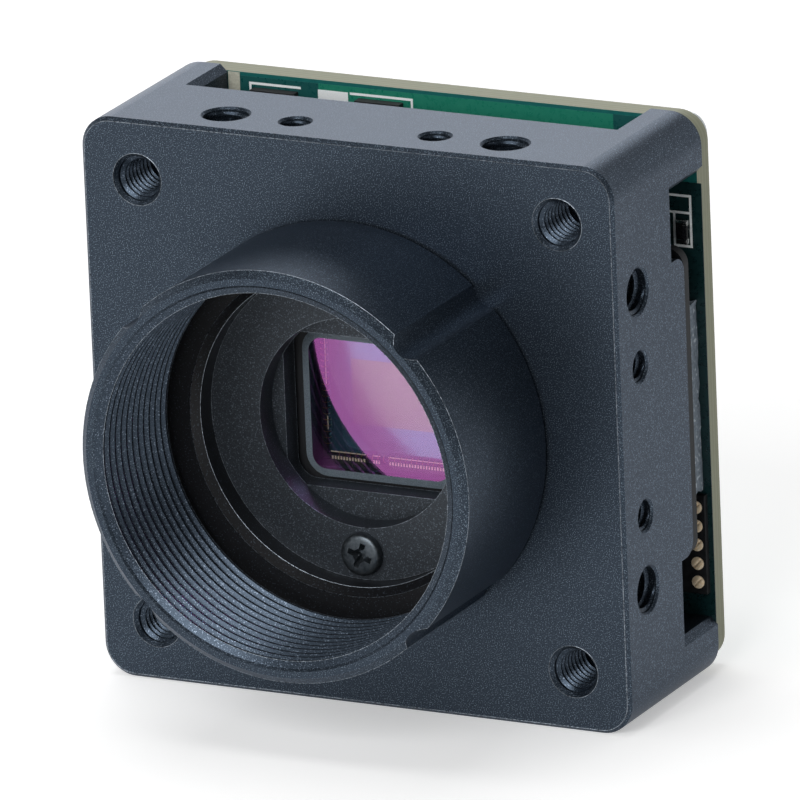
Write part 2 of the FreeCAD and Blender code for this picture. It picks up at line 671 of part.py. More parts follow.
# ---------------------------------------------------------------- screws
def screw_master(name, grip):
    """An M1.6 pan head screw, seat at z = 0 and head towards +z; grip is what it clamps."""
    body = new_body(name)
    profile = sketch_at(body, "0", "XZ_Plane")
    head = "Sizes.screw_head / 2"
    crown = "Sizes.screw_head_height"
    shank = "Sizes.screw_shank / 2"
    polygon(profile, [
        ("0", f"-({grip}) - Sizes.screw_engagement"),
        (f"{shank} * 0.8", f"-({grip}) - Sizes.screw_engagement"),
        (shank, f"-({grip}) - Sizes.screw_engagement + {shank} / 2"),
        (shank, "0"),
        (head, "0"),
        (head, f"{crown} / 2"),
        (f"{head} * 0.78", crown),
        ("0", crown),
    ])
    turned = body.newObject("PartDesign::Revolution", f"{name}_turned")
    turned.Profile = profile
    turned.ReferenceAxis = (profile, ["V_Axis"])
    turned.Angle = 360
    doc.recompute()
    for width, height in (("Sizes.recess_span", "Sizes.recess_width"),
                          ("Sizes.recess_width", "Sizes.recess_span")):
        slot = sketch_at(body, "-Sizes.screw_head_height")
        rectangle(slot, width, height)
        pocket(body, slot, "Sizes.recess_depth")
    return body


def washer_master(name):
    body = new_body(name)
    ring = sketch_at(body, "0")
    circle(ring, "Sizes.shim_diameter / 2")
    circle(ring, "Sizes.screw_clearance / 2")
    pad(body, ring, "Sizes.shim_thickness", backwards=False)
    return body


# ---------------------------------------------------------------- aperture plate and sensor
def aperture_plate():
    body = new_body("aperture_plate")
    flange = sketch_at(body, PLATE_FRONT)
    circle(flange, PLATE_RADIUS)
    pad(body, flange, "Sizes.plate_flange")
    boss = sketch_at(body, "Sizes.seat_depth")
    rectangle(boss, BOSS_WIDTH, BOSS_HEIGHT)
    pad(body, boss, f"{BOSS_BACK} - Sizes.seat_depth")

    window = sketch_at(body, BOSS_BACK)
    rectangle(window, WINDOW_WIDTH, WINDOW_HEIGHT)
    pocket(body, window, f"{BOSS_BACK} - Sizes.seat_depth + Sizes.plate_web", forwards=True)
    window_half = [size / 2 for size in sensor_stack("window")]
    dress(body, "Fillet", "Sizes.window_corner", corner_edges(*window_half))

    recess = sketch_at(body, PLATE_FRONT)
    circle(recess, "Sizes.plate_recess_diameter / 2")
    pocket(body, recess, "Sizes.plate_flange - Sizes.plate_web")
    screws = sketch_at(body, PLATE_FRONT)
    circle(screws, "Sizes.screw_clearance / 2", "0", PLATE_SCREW_Y)
    circle(screws, "Sizes.screw_clearance / 2", "0", f"-{PLATE_SCREW_Y}")
    pocket(body, screws, "Sizes.plate_flange")
    return finish(body)


def dust_gasket():
    """A thin frame that presses on the package round the cover glass."""
    body = new_body("dust_gasket")
    frame = sketch_at(body, BOSS_BACK)
    outer = (BOSS_WIDTH, BOSS_HEIGHT)
    rectangle(frame, *outer)
    rectangle(frame, *[f"{side} - 2 * Sizes.gasket_width" for side in outer])
    pad(body, frame, "Sizes.gasket_thickness")
    return finish(body)


def sensor_package():
    """The ceramic carrier: a bond ledge level with the die, and a well that holds the die."""
    body = slab("sensor_package", f"{BOSS_WIDTH} + 2 * Sizes.package_margin",
                f"{BOSS_HEIGHT} + 2 * Sizes.package_margin",
                f"{SENSOR_BOARD_FRONT} - {PACKAGE_FRONT}", PACKAGE_FRONT)
    cavity = sketch_at(body, PACKAGE_FRONT)
    rectangle(cavity, LEDGE_WIDTH, LEDGE_HEIGHT)
    pocket(body, cavity, "Sizes.die_setback")
    well = sketch_at(body, "Sizes.sensor_depth")
    rectangle(well, WELL_WIDTH, WELL_HEIGHT)
    pocket(body, well, "Sizes.die_thickness")
    return finish(body)


def bond_wires():
    """Gold half loops from the die's edge to the ledge, along all four edges."""
    reach = "(Sizes.die_gap + Sizes.bond_ledge / 2)"
    master = doc.addObject("Part::Torus", "bond_loop")
    master.setExpression("Radius1", f"({reach} + Sizes.die_gap) / 2")
    master.setExpression("Radius2", "Sizes.wire_radius")
    master.Angle3 = 180
    middle = f"({reach} - Sizes.die_gap) / 2"
    across = FreeCAD.Rotation(V(1, 0, 0), 90)
    upright = FreeCAD.Rotation(V(0, 0, 1), 90) * across
    links = []
    for side_of, along, turn in (("die_height", "die_width", upright),
                                 ("die_width", "die_height", across)):
        count = int(mm(along) / mm("wire_pitch")) - 2
        for side in (1, -1):
            out = f"{side} * (Sizes.{side_of} / 2 + {middle})"
            for i in range(count):
                step = f"({i} - {(count - 1) / 2}) * Sizes.wire_pitch"
                link = doc.addObject("App::Link", "bond_wire")
                link.LinkedObject = master
                link.Placement = FreeCAD.Placement(V(0, 0, 0), turn)
                x, y = (step, out) if turn == upright else (out, step)
                link.setExpression("Placement.Base.x", x)
                link.setExpression("Placement.Base.y", y)
                link.setExpression("Placement.Base.z", "-Sizes.sensor_depth")
                links.append(link)
    group = doc.addObject("Part::Compound", "bond_wires")
    group.Label = "bond_wires"
    group.Links = links
    return finish(group)


def cover_glass():
    body = slab("cover_glass", GLASS_WIDTH, GLASS_HEIGHT, "Sizes.glass_thickness",
                f"{PACKAGE_FRONT} - Sizes.glass_thickness")
    glass_half = [size / 2 for size in sensor_stack("glass")]
    dress(body, "Fillet", "Sizes.glass_corner", corner_edges(*glass_half))
    front = mm("glass_thickness") + mm("die_setback") - mm("sensor_depth")
    dress(body, "Chamfer", "Sizes.glass_bevel", lambda edge: near(edge.CenterOfMass.z, front))
    return finish(body)


# ---------------------------------------------------------------- boards
def sensor_board():
    side = f"{CAVITY} - 2 * Sizes.sensor_board_clearance"
    body = slab("sensor_board", side, side, "Sizes.sensor_board_thickness", SENSOR_BOARD_FRONT)
    holes = sketch_at(body, SENSOR_BOARD_FRONT)
    for i, j in QUARTERS:
        circle(holes, "Sizes.screw_clearance / 2", f"{i} * {SENSOR_SCREW}", f"{j} * {SENSOR_SCREW}")
    pocket(body, holes, "Sizes.sensor_board_thickness")
    return finish(body)


def main_board():
    side = f"2 * {BOARD_EDGE}"
    body = slab("main_board", side, side, "Sizes.board_thickness", BOARD_FRONT)
    half = mm("housing_size") / 2 - mm("board_inset")
    dress(body, "Fillet", "Sizes.board_corner", corner_edges(half, half))
    holes = sketch_at(body, BOARD_FRONT)
    for i, j in QUARTERS:
        circle(holes, "Sizes.screw_clearance / 2", f"{i} * {POST_SCREW}", f"{j} * {POST_SCREW}")
    pocket(body, holes, "Sizes.board_thickness")
    return finish(body)


def board_connector():
    """The mating plug and socket that join the two boards."""
    plug = slab("board_plug", "Sizes.plug_width", "Sizes.plug_length", "Sizes.plug_height",
                SENSOR_BOARD_BACK, STACK_X)
    meet = f"({SENSOR_BOARD_BACK} + Sizes.plug_height)"
    tongue_length = "Sizes.plug_length - 2 * Sizes.tongue_width"
    tongue = sketch_at(plug, meet)
    rectangle(tongue, "Sizes.tongue_width", tongue_length, STACK_X)
    pad(plug, tongue, "Sizes.tongue_height")
    finish(plug)

    socket = slab("board_socket", "Sizes.plug_width", "Sizes.plug_length",
                  f"{BOARD_FRONT} - {meet}", meet, STACK_X)
    slot = sketch_at(socket, meet)
    rectangle(slot, "Sizes.tongue_width + 2 * Sizes.tongue_clearance",
              f"{tongue_length} + 2 * Sizes.tongue_clearance", STACK_X)
    pocket(socket, slot, "Sizes.tongue_height + Sizes.tongue_clearance")
    finish(socket)


# ---------------------------------------------------------------- heat path
def block_between(label, left, right, height, y, thickness, depth):
    """A slab from one x to another."""
    return slab(label, f"({right}) - ({left})", height, thickness, depth,
                f"(({right}) + ({left})) / 2", y)


def heat_spreader():
    """A black plate on the right wall's tab, reaching over the processor."""
    right = f"{HALF} - Sizes.spreader_edge"
    height = "Sizes.tab_top + Sizes.tab_bottom + 2 * Sizes.spreader_overlap"
    body = block_between("heat_spreader", PAD_LEFT, right, height,
                         "(Sizes.tab_top - Sizes.tab_bottom) / 2",
                         "Sizes.spreader_thickness", TAB_DEPTH)
    edge_x = mm("housing_size") / 2 - mm("spreader_edge")
    dress(body, "Fillet", "Sizes.tab_corner",
          lambda edge: is_line(edge, V(0, 0, 1)) and near(edge.CenterOfMass.x, edge_x))
    return finish(body)


def thermal_pad():
    """A soft block from the plate to the main board, moulded over the processor."""
    front = f"({TAB_DEPTH} + Sizes.spreader_thickness)"
    body = block_between("thermal_pad", PAD_LEFT, f"{HALF} - Sizes.pad_edge", f"2 * {PAD_HALF}",
                         PROCESSOR_Y, f"{BOARD_FRONT} - {front}", front)
    chip = sketch_at(body, BOARD_FRONT)
    rectangle(chip, "Sizes.processor_width", "Sizes.processor_width", PROCESSOR_X, PROCESSOR_Y)
    pocket(body, chip, "Sizes.processor_height", forwards=True)
    return finish(body)


# ---------------------------------------------------------------- components
def component_masters():
    """Small parts that repeat; each stands on z = 0 and rises towards +z."""
    chip = new_body("chip_master")
    outline = sketch_at(chip, "0")
    rectangle(outline, "Sizes.chip_width", "Sizes.chip_length")
    pad(chip, outline, "Sizes.chip_height", backwards=False)

    inductor = new_body("inductor_master")
    outline = sketch_at(inductor, "0")
    rectangle(outline, "Sizes.inductor_size", "Sizes.inductor_size")
    pad(inductor, outline, "Sizes.inductor_height", backwards=False)

    driver = new_body("driver_master")
    outline = sketch_at(driver, "0")
    rectangle(outline, "Sizes.driver_width", "Sizes.driver_length")
    pad(driver, outline, "Sizes.driver_height", backwards=False)

    contact = new_body("contact_master")
    head = sketch_at(contact, "0")
    circle(head, "Sizes.contact_diameter / 2")
    pad(contact, head, "Sizes.contact_rise", backwards=False)
    rim = mm("contact_rise")
    dress(contact, "Chamfer", "Sizes.contact_rise / 2",
          lambda edge: is_circle(edge, mm("contact_diameter") / 2, rim))

    pin = new_body("io_pin_master")
    outline = sketch_at(pin, "0")
    rectangle(outline, "Sizes.io_pin", "Sizes.io_pin")
    pad(pin, outline, "Sizes.io_height - 2 * Sizes.io_wall", backwards=False)
    return chip, inductor, driver, contact, pin


def spread(count, pitch):
    """Offsets of a row of equal steps about its middle, as expressions."""
    return [f"({i} - {(count - 1) / 2}) * {pitch}" for i in range(count)]


def front_components(chip, inductor, driver):
    """What stands on the main board's front, in the space behind the sensor board."""
    finish(slab("image_processor", "Sizes.processor_width", "Sizes.processor_width",
                "Sizes.processor_height", f"{BOARD_FRONT} - Sizes.processor_height",
                PROCESSOR_X, PROCESSOR_Y))

    power_x = f"Sizes.power_inset - {BOARD_EDGE}"
    repeat("power_inductors", inductor,
           [(power_x, y, BOARD_FRONT, "front")
            for y in spread(INDUCTORS, "Sizes.inductor_pitch")])
    reach = f"{(INDUCTORS - 1) / 2} * Sizes.inductor_pitch + Sizes.inductor_size / 2"
    finish(slab("power_regulator", "Sizes.regulator_width", "Sizes.regulator_width",
                "Sizes.regulator_height", f"{BOARD_FRONT} - Sizes.regulator_height", power_x,
                f"{reach} + Sizes.part_gap + Sizes.regulator_width / 2"))

    driver_y = f"{BOARD_EDGE} - Sizes.driver_top_inset - Sizes.driver_length / 2"
    repeat("driver_chips", driver,
           [(f"Sizes.driver_side_inset - {BOARD_EDGE} + {i} * Sizes.driver_pitch", driver_y,
             BOARD_FRONT, "front") for i in range(DRIVERS)])
    repeat("edge_resistor", chip,
           [(f"{BOARD_EDGE} - Sizes.resistor_inset", "Sizes.tab_top + Sizes.resistor_rise",
             BOARD_FRONT, "front")])
    repeat("front_capacitors", chip,
           [(f"Sizes.front_row_x + {x}", f"{side} * ({BOARD_EDGE} - Sizes.front_row_inset)",
             BOARD_FRONT, "front")
            for x in spread(FRONT_COLUMNS, "Sizes.chip_pitch") for side in (1, -1)])


def edge_contacts(contact):
    """Five gold contacts on a black base at the main board's lower right edge."""
    finish(slab("contact_base", "Sizes.contact_base_width", CONTACT_BASE_LENGTH,
                "Sizes.contact_base_height", f"{BOARD_FRONT} - Sizes.contact_base_height",
                f"{BOARD_EDGE} - Sizes.contact_base_inset - Sizes.contact_base_width / 2",
                f"{CONTACT_BASE_TOP} - {CONTACT_BASE_LENGTH} / 2"))
    column = f"{BOARD_EDGE} - Sizes.contact_inset"
    first = f"{CONTACT_BASE_TOP} - Sizes.contact_base_margin"
    repeat("edge_contacts", contact,
           [(column, f"{first} - {i} * Sizes.contact_pitch",
             f"{BOARD_FRONT} - Sizes.contact_base_height", "front")
            for i in range(EDGE_CONTACTS)])


def sensor_board_components(chip):
    """What stands on the sensor board's back."""
    finish(slab("clock_oscillator", "Sizes.oscillator_width", "Sizes.oscillator_length",
                "Sizes.oscillator_height", SENSOR_BOARD_BACK, "0", "Sizes.oscillator_y"))
    repeat("sensor_capacitors", chip,
           [(x, f"{side} * Sizes.sensor_row_y", SENSOR_BOARD_BACK, "back")
            for x in spread(FRONT_COLUMNS, "Sizes.chip_pitch") for side in (1, -1)])


def rear_components(chip, pin):
    """What stands on the main board's back, between the screws."""
    memory_x = f"({BOARD_EDGE} - Sizes.memory_inset)"
    finish(slab("memory_chip", "Sizes.memory_width", "Sizes.memory_length", "Sizes.memory_height",
                BOARD_BACK, memory_x, "Sizes.memory_y"))
    row = "(Sizes.memory_length / 2 + Sizes.memory_row_gap)"
    repeat("rear_capacitors", chip,
           [(f"{memory_x} + {x}", f"Sizes.memory_y + {side} * {row}", BOARD_BACK, "back")
            for x in spread(REAR_COLUMNS, "Sizes.chip_pitch") for side in (1, -1)])

    port = slab("data_port_shell", "Sizes.port_width", "Sizes.port_height", "Sizes.port_length",
                BOARD_BACK, "Sizes.port_x", "Sizes.port_y")
    mouth = sketch_at(port, f"{BOARD_BACK} + Sizes.port_length")
    inside = ("(Sizes.port_width - 2 * Sizes.port_wall)", "(Sizes.port_height - 2 * Sizes.port_wall)")
    rectangle(mouth, *inside, "Sizes.port_x", "Sizes.port_y")
    pocket(port, mouth, "Sizes.port_length", forwards=True)
    # the inner corners first, because the round outside runs close to them
    for inset, height in ((mm("port_wall"), inside[1]), (0, "Sizes.port_height")):
        corners = corner_edges(mm("port_width") / 2 - inset, mm("port_height") / 2 - inset,
                               mm("port_x"), mm("port_y"))
        dress(port, "Fillet", f"{height} * 0.4", corners)
    finish(port)
    finish(slab("data_port_tongue", f"{inside[0]} - 2 * Sizes.tongue_thickness",
                "Sizes.tongue_thickness", "Sizes.port_length - Sizes.port_wall * 2",
                BOARD_BACK, "Sizes.port_x", "Sizes.port_y"))

    socket = slab("signal_socket", "Sizes.io_width", "Sizes.io_depth", "Sizes.io_height",
                  BOARD_BACK, "Sizes.io_x", "Sizes.io_y")
    well = sketch_at(socket, f"{BOARD_BACK} + Sizes.io_height")
    rectangle(well, "Sizes.io_width - 2 * Sizes.io_wall", "Sizes.io_depth - 2 * Sizes.io_wall",
              "Sizes.io_x", "Sizes.io_y")
    pocket(socket, well, "Sizes.io_height - Sizes.io_wall", forwards=True)
    finish(socket)
    repeat("signal_pins", pin,
           [(f"Sizes.io_x + {x}", "Sizes.io_y", f"{BOARD_BACK} + Sizes.io_wall", "back")
            for x in spread(IO_PINS, "Sizes.io_pitch")])


# ---------------------------------------------------------------- assembly
housing()
aperture_plate()
repeat("aperture_screws", screw_master("aperture_screw_master", "Sizes.plate_flange"),
       [("0", f"{sign}{PLATE_SCREW_Y}", PLATE_FRONT, "front") for sign in ("", "-")])
dust_gasket()
sensor_package()
finish(slab("sensor_die", "Sizes.die_width", "Sizes.die_height", "Sizes.die_thickness",
            "Sizes.sensor_depth"))
bond_wires()
cover_glass()
sensor_board()
repeat("focus_shims", washer_master("shim_master"),
       four_corners(SENSOR_SCREW, SENSOR_BOARD_FRONT, "front"))
repeat("sensor_board_screws",
       screw_master("sensor_screw_master", "Sizes.sensor_board_thickness + Sizes.shim_thickness"),
       four_corners(SENSOR_SCREW, SENSOR_BOARD_BACK, "back"))
board_connector()
main_board()
repeat("main_board_screws", screw_master("post_screw_master", "Sizes.board_thickness"),
       four_corners(POST_SCREW, BOARD_BACK, "back"))
heat_spreader()
thermal_pad()
chip_part, inductor_part, driver_part, contact_part, pin_part = component_masters()
front_components(chip_part, inductor_part, driver_part)
edge_contacts(contact_part)
sensor_board_components(chip_part)
rear_components(chip_part, pin_part)
doc.recompute()

# ---------------------------------------------------------------- checks and export
for item in doc.Objects:
    if "Invalid" in item.State or "Error" in item.State:
        raise RuntimeError(f"{item.Label} failed: {item.State}")
for piece in finished:
    if piece.Shape.isNull() or not piece.Shape.isValid():
        raise RuntimeError(f"{piece.Label} has no valid shape")

os.makedirs("parts", exist_ok=True)
for piece in finished:
    piece.Shape.exportStep(f"parts/{piece.Label}.step")
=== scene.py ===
"""Looks for a board-level machine vision camera.

A square black anodised housing carries a lens mount ring with its thread, four
tapped holes in the front and four in each side. The sensor sits behind a round
plate held by two screws, and the main board closes the back.
Everything is in metres in the part's own frame: +X right, +Y back, +Z up, and the
lens axis runs along -Y at X 0, Z 0.019.
"""

import json
import math
import random

import bmesh
import bpy
from mathutils import Matrix, Vector, noise


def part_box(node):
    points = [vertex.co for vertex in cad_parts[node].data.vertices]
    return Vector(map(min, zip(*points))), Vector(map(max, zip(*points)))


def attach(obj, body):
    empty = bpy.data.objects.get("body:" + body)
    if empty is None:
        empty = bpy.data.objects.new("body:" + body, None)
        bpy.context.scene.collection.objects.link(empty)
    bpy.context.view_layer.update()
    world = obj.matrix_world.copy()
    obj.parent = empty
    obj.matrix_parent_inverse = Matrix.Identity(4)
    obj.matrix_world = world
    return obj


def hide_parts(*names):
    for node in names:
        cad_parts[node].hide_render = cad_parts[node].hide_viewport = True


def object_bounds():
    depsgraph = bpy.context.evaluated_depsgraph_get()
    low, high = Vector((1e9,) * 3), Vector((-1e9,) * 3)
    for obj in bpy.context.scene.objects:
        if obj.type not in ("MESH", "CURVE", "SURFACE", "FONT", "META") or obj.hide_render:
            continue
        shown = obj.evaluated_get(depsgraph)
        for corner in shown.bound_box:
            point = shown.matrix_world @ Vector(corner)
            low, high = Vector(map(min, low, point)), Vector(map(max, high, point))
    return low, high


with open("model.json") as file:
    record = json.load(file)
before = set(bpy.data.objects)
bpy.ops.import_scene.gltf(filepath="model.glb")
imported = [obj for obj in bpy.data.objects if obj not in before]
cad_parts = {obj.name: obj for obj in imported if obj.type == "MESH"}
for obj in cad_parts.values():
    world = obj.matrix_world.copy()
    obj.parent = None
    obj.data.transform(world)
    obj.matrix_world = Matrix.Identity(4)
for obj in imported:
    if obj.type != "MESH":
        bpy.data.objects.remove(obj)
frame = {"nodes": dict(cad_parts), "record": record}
cad_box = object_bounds()

nodes = frame["nodes"]
mounts = {mount["name"]: mount for mount in frame["record"]["mounts"]}
MM = 0.001
UP = Vector((0, 0, 1))
RIGHT = Vector((1, 0, 0))
FRONT = Vector((0, -1, 0))
BACK = Vector((0, 1, 0))
AXIS_HEIGHT = mounts["lens_thread"]["pos_m"][2]


# ---------------------------------------------------------------- materials
def linear(code):
    """An sRGB hex colour as the linear colour that the shaders take."""
    parts = [int(code[i:i + 2], 16) / 255 for i in (1, 3, 5)]
    return (*(c / 12.92 if c <= 0.04045 else ((c + 0.055) / 1.055) ** 2.4 for c in parts), 1)


def add(tree, kind, inputs=None, **settings):
    """Adds a node with its settings; an input given another node's output is linked."""
    made = tree.nodes.new(kind)
    for name, value in settings.items():
        setattr(made, name, value)
    for name, value in (inputs or {}).items():
        if isinstance(value, bpy.types.NodeSocket):
            tree.links.new(value, made.inputs[name])
        else:
            made.inputs[name].default_value = value
    return made


def new_material(name):
    """A new material and its node tree, with no node in it yet."""
    made = bpy.data.materials.new(name)
    made.use_nodes = True
    made.node_tree.nodes.clear()
    return made, made.node_tree


def finish_material(tree, shader):
    """Makes shader the surface of the material."""
    add(tree, "ShaderNodeOutputMaterial", {"Surface": shader.outputs[0]})


# Nearly all of a noise texture's values lie between these two.
NOISE_LOW, NOISE_HIGH = 0.3, 0.7
# Patches of drifting tone are this many grains wide; a speck's rim takes this much noise.
DRIFT_GRAINS, SPECK_RIM = 30, 0.08


def grained(name, dark, light, grain, relief, rough, rough_spread=0.06, clouds=0.0,
            speck=None, speck_share=0.36, **sockets):
    """A material whose colour, gloss and relief vary over grains.

    grain and relief are in millimetres; rough varies by rough_spread either way;
    clouds is how much of the tone drifts slowly, 0 to 1; speck is the colour of
    scattered grains, real filler or painted glints, and a larger speck_share gives more of them.
    """
    made, tree = new_material(name)
    place = add(tree, "ShaderNodeTexCoord")
    grains = add(tree, "ShaderNodeTexNoise",
                 {"Vector": place.outputs["Object"], "Scale": 1 / (grain * MM),
                  "Detail": 2.0, "Roughness": 0.6})
    spread = add(tree, "ShaderNodeMapRange",
                 {"Value": grains.outputs[0], "From Min": NOISE_LOW,
                  "From Max": NOISE_HIGH})
    drift = add(tree, "ShaderNodeTexNoise",
                {"Vector": place.outputs["Object"], "Scale": 1 / (DRIFT_GRAINS * grain * MM),
                 "Detail": 1.0})
    tone = add(tree, "ShaderNodeMix",
               {"Factor": clouds, "A": spread.outputs[0], "B": drift.outputs[0]},
               data_type="FLOAT")
    colour = add(tree, "ShaderNodeMix",
                 {"Factor": tone.outputs[0], 6: linear(dark), 7: linear(light)},
                 data_type="RGBA")
    if speck:
        scatter = add(tree, "ShaderNodeTexNoise",
                      {"Vector": place.outputs["Object"], "Scale": 1 / (grain * MM),
                       "Detail": 0.0})
        rare = add(tree, "ShaderNodeMapRange",
                   {"Value": scatter.outputs[0], "From Min": 1 - speck_share,
                    "From Max": 1 - speck_share + SPECK_RIM})
        colour = add(tree, "ShaderNodeMix",
                     {"Factor": rare.outputs[0], 6: colour.outputs[2], 7: linear(speck)},
                     data_type="RGBA")
    gloss = add(tree, "ShaderNodeMapRange",
                {"Value": grains.outputs[0], "From Min": NOISE_LOW, "From Max": NOISE_HIGH,
                 "To Min": rough - rough_spread, "To Max": rough + rough_spread})
    bump = add(tree, "ShaderNodeBump",
               {"Height": grains.outputs[0], "Distance": relief * MM, "Strength": 1.0})
    shader = add(tree, "ShaderNodeBsdfPrincipled",
                 {"Base Color": colour.outputs[2], "Roughness": gloss.outputs[0],
                  "Normal": bump.outputs[0], **sockets})
    finish_material(tree, shader)
    return made


# Bead-blasted, black anodised aluminium: the dyed oxide lets little light back from
# the metal, in a cold grey, and brightens at a glancing angle. The blast leaves an
# even grain, and the glints of its facets are painted as scattered pale specks. Grain 0.05 mm,
# drawn at 0.07 mm to show.
anodised = grained("bead_blasted_black_anodised_aluminium", "#1f262e", "#434e5b", grain=0.07,
                   relief=0.003, rough=0.36, clouds=0.1, speck="#6c7885", speck_share=0.36,
                   Metallic=0.8, **{"Specular Tint": (0.68, 0.71, 0.77, 1)})
# The same anodising over machined thread flanks is smoother and a little paler; its pale specks
# are painted glints.
thread_anodised = grained("machined_black_anodised_thread", "#28313b", "#3a4552", grain=0.08,
                          relief=0.002, rough=0.3, speck="#6d7988", speck_share=0.33,
                          Metallic=0.8)
# Painted highlight: a pale line of anodising laid along sharp edges, standing in for the light
# they catch.
painted_edge_highlight = grained("anodised_edge_painted_highlight", "#20262d", "#a4aeb9", grain=0.14, relief=0.002,
                    rough=0.36, Metallic=0.8)
# Inside the mount, behind the thread, the anodising is drawn deep black as painted shade, for the
# little light that gets into the bore; its faint specks are painted glints.
bore_painted_shade = grained("anodised_bore_painted_shade", "#131417", "#1b1c20", grain=0.1,
                        relief=0.004, rough=0.36, speck="#3f4751", speck_share=0.31,
                        Metallic=0.3)
# Black coating over a turned plate: closer to black, with fine pale specks painted as glints.
plate_black = grained("black_coated_turned_plate", "#2e3339", "#40464d", grain=0.08,
                      relief=0.004, rough=0.4, speck="#626b75", speck_share=0.32, Metallic=0.6)
# Black oxide on steel: a dark skin with a metal glint.
oxide_steel = grained("black_oxide_steel", "#4a5157", "#646b71", grain=0.2, relief=0.006,
                      rough=0.36, Metallic=0.85)
# Zinc plate, bright and slightly blue.
zinc = grained("zinc_plated_steel", "#a3a9ad", "#c6cacb", grain=0.25, relief=0.003, rough=0.3,
               Metallic=1.0)
# Rolled stainless foil: a plain grey metal, nearly smooth.
stainless = grained("rolled_stainless_shim", "#8f9191", "#b4b5b3", grain=0.3, relief=0.002,
                    rough=0.32, Metallic=1.0)
# Moulded rubber: black and matt, with no highlight to speak of.
rubber = grained("moulded_silicone_rubber_gasket", "#141415", "#202022", grain=0.3,
                 relief=0.01, rough=0.75)
# Alumina sensor package, fired dark, dull and dense.
ceramic = grained("dark_fired_alumina", "#17181b", "#222429", grain=0.12, relief=0.006,
                  rough=0.5)
# Filled epoxy from a mould: near black, with a soft sheen.
chip_epoxy = grained("moulded_epoxy_chip", "#17181a", "#25262a", grain=0.1, relief=0.008,
                     rough=0.55)
# Glass-filled nylon: black and dull, with a weak highlight.
black_nylon = grained("moulded_black_nylon", "#131416", "#1f2023", grain=0.4, relief=0.006,
                      rough=0.55, **{"Specular IOR Level": 0.2})
# Heat-proof polymer of sockets: an opaque ivory.
ivory_lcp = grained("moulded_ivory_polymer", "#cfc5ab", "#ddd4bc", grain=0.5, relief=0.006,
                    rough=0.45)
# Fired ceramic of chip capacitors: a dull tan brown.
capacitor = grained("fired_brown_capacitor_body", "#7c6650", "#927a60", grain=0.15,
                    relief=0.006, rough=0.5)
# Glaze over a chip resistor: black and glossy.
resistor_body = grained("black_glazed_resistor", "#101114", "#1c1d22", grain=0.2,
                        relief=0.003, rough=0.25)
# Pressed ferrite powder: mid grey and matt, with a coarse feel.
ferrite_core = grained("pressed_grey_ferrite", "#3a3b3e", "#4d4e52", grain=0.25, relief=0.012,
                       rough=0.6)
# Bright tin over folded sheet: an even silver with hardly any grain.
tin = grained("bright_tin_plate", "#babcbc", "#c4c6c4", grain=0.4, relief=0.0003, rough=0.32,
              rough_spread=0.01, Metallic=1.0)
# Solder that has flowed: silver, glossy and slightly uneven.
solder = grained("reflowed_solder", "#b9bcbd", "#e0e1df", grain=0.3, relief=0.006, rough=0.22,
                 Metallic=1.0)
# Hard gold over nickel: warm and pale where it catches the light.
gold = grained("hard_gold_plate", "#d8a75a", "#f2cd86", grain=0.15, relief=0.003, rough=0.24,
               Metallic=1.0)
# The spring contacts' gold is drawn pale cream and barely metallic: gold's own colour, lifted by a
# painted highlight for the light they catch.
gold_painted_highlight = grained("spring_contact_gold_painted_highlight", "#fadcb0", "#fff0d6", grain=0.15,
                    relief=0.003, rough=0.5, Metallic=0.1)
# Drawn wire: gold that goes dark between its bright points, as it mirrors the bore.
bond_gold = grained("drawn_gold_bond_wire", "#8f744b", "#b3935f", grain=0.2, relief=0.001,
                    rough=0.3, Metallic=1.0)
# Bond pads and bus lines: a pale, matt metal film.
pad_metal = grained("matt_bond_pad_metal", "#f3e3c6", "#fff3da", grain=0.2, relief=0.001,
                    rough=0.4, Metallic=0.1)
# Filled silicone gap pad: grey-blue, crumbly, with white ceramic filler grains.
gap_pad = grained("filled_silicone_gap_pad", "#64707b", "#8c97a3", grain=0.28, relief=0.04,
                  rough=0.85, speck="#b4bec8", speck_share=0.33)
# Black paint on the heat spreader: dull, with a weak highlight.
painted_black = grained("black_painted_spreader", "#16181b", "#24272b", grain=0.15,
                        relief=0.004, rough=0.6, **{"Specular IOR Level": 0.2})
# Bare glass-cloth laminate: pale cream resin with a dull cut surface.
laminate = grained("cut_glass_epoxy_laminate", "#b3b2a2", "#c9c9ba", grain=0.12, relief=0.006,
                   rough=0.55)
# Screen-printed ink: a flat, opaque white.
silk_ink = grained("screen_printed_white_ink", "#eef4f6", "#fafcfc", grain=0.1, relief=0.003,
                   rough=0.6)
# Green solder mask is a clear lacquer, so its tone is that of what lies under it:
# bright over copper, darker over bare laminate. Its nearly black copy is painted shade.
copper_mask = grained("solder_mask_over_copper", "#1f7a64", "#248069", grain=0.35,
                      relief=0.001, rough=0.3, IOR=1.52)
bare_mask = grained("solder_mask_over_laminate", "#17504f", "#1a5654", grain=0.35,
                    relief=0.001, rough=0.3, IOR=1.52)
mask_painted_shade = grained("solder_mask_painted_shade", "#0b2527", "#0f2d2f", grain=0.35,
                    relief=0.001, rough=0.3, IOR=1.52)
# Pixels under tiny lenses, far too fine to draw: one flat, glossy grey-green.
pixel_array = grained("microlens_pixel_array", "#8f9a86", "#a0aa96", grain=0.05, relief=0.0,
                      rough=0.16, rough_spread=0.02, Metallic=1.0)
# Polished silicon under its metal layers: a cool blue mirror.
die_metal = grained("silicon_die_metal_layers", "#6095b0", "#7aacc4", grain=0.06, relief=0.0,
                    rough=0.1, rough_spread=0.02, Metallic=0.85)
# Ground glass edge: frosted and grey.
ground_glass = grained("ground_glass_edge", "#5b6771", "#87939d", grain=0.08, relief=0.02,
                       rough=0.4)


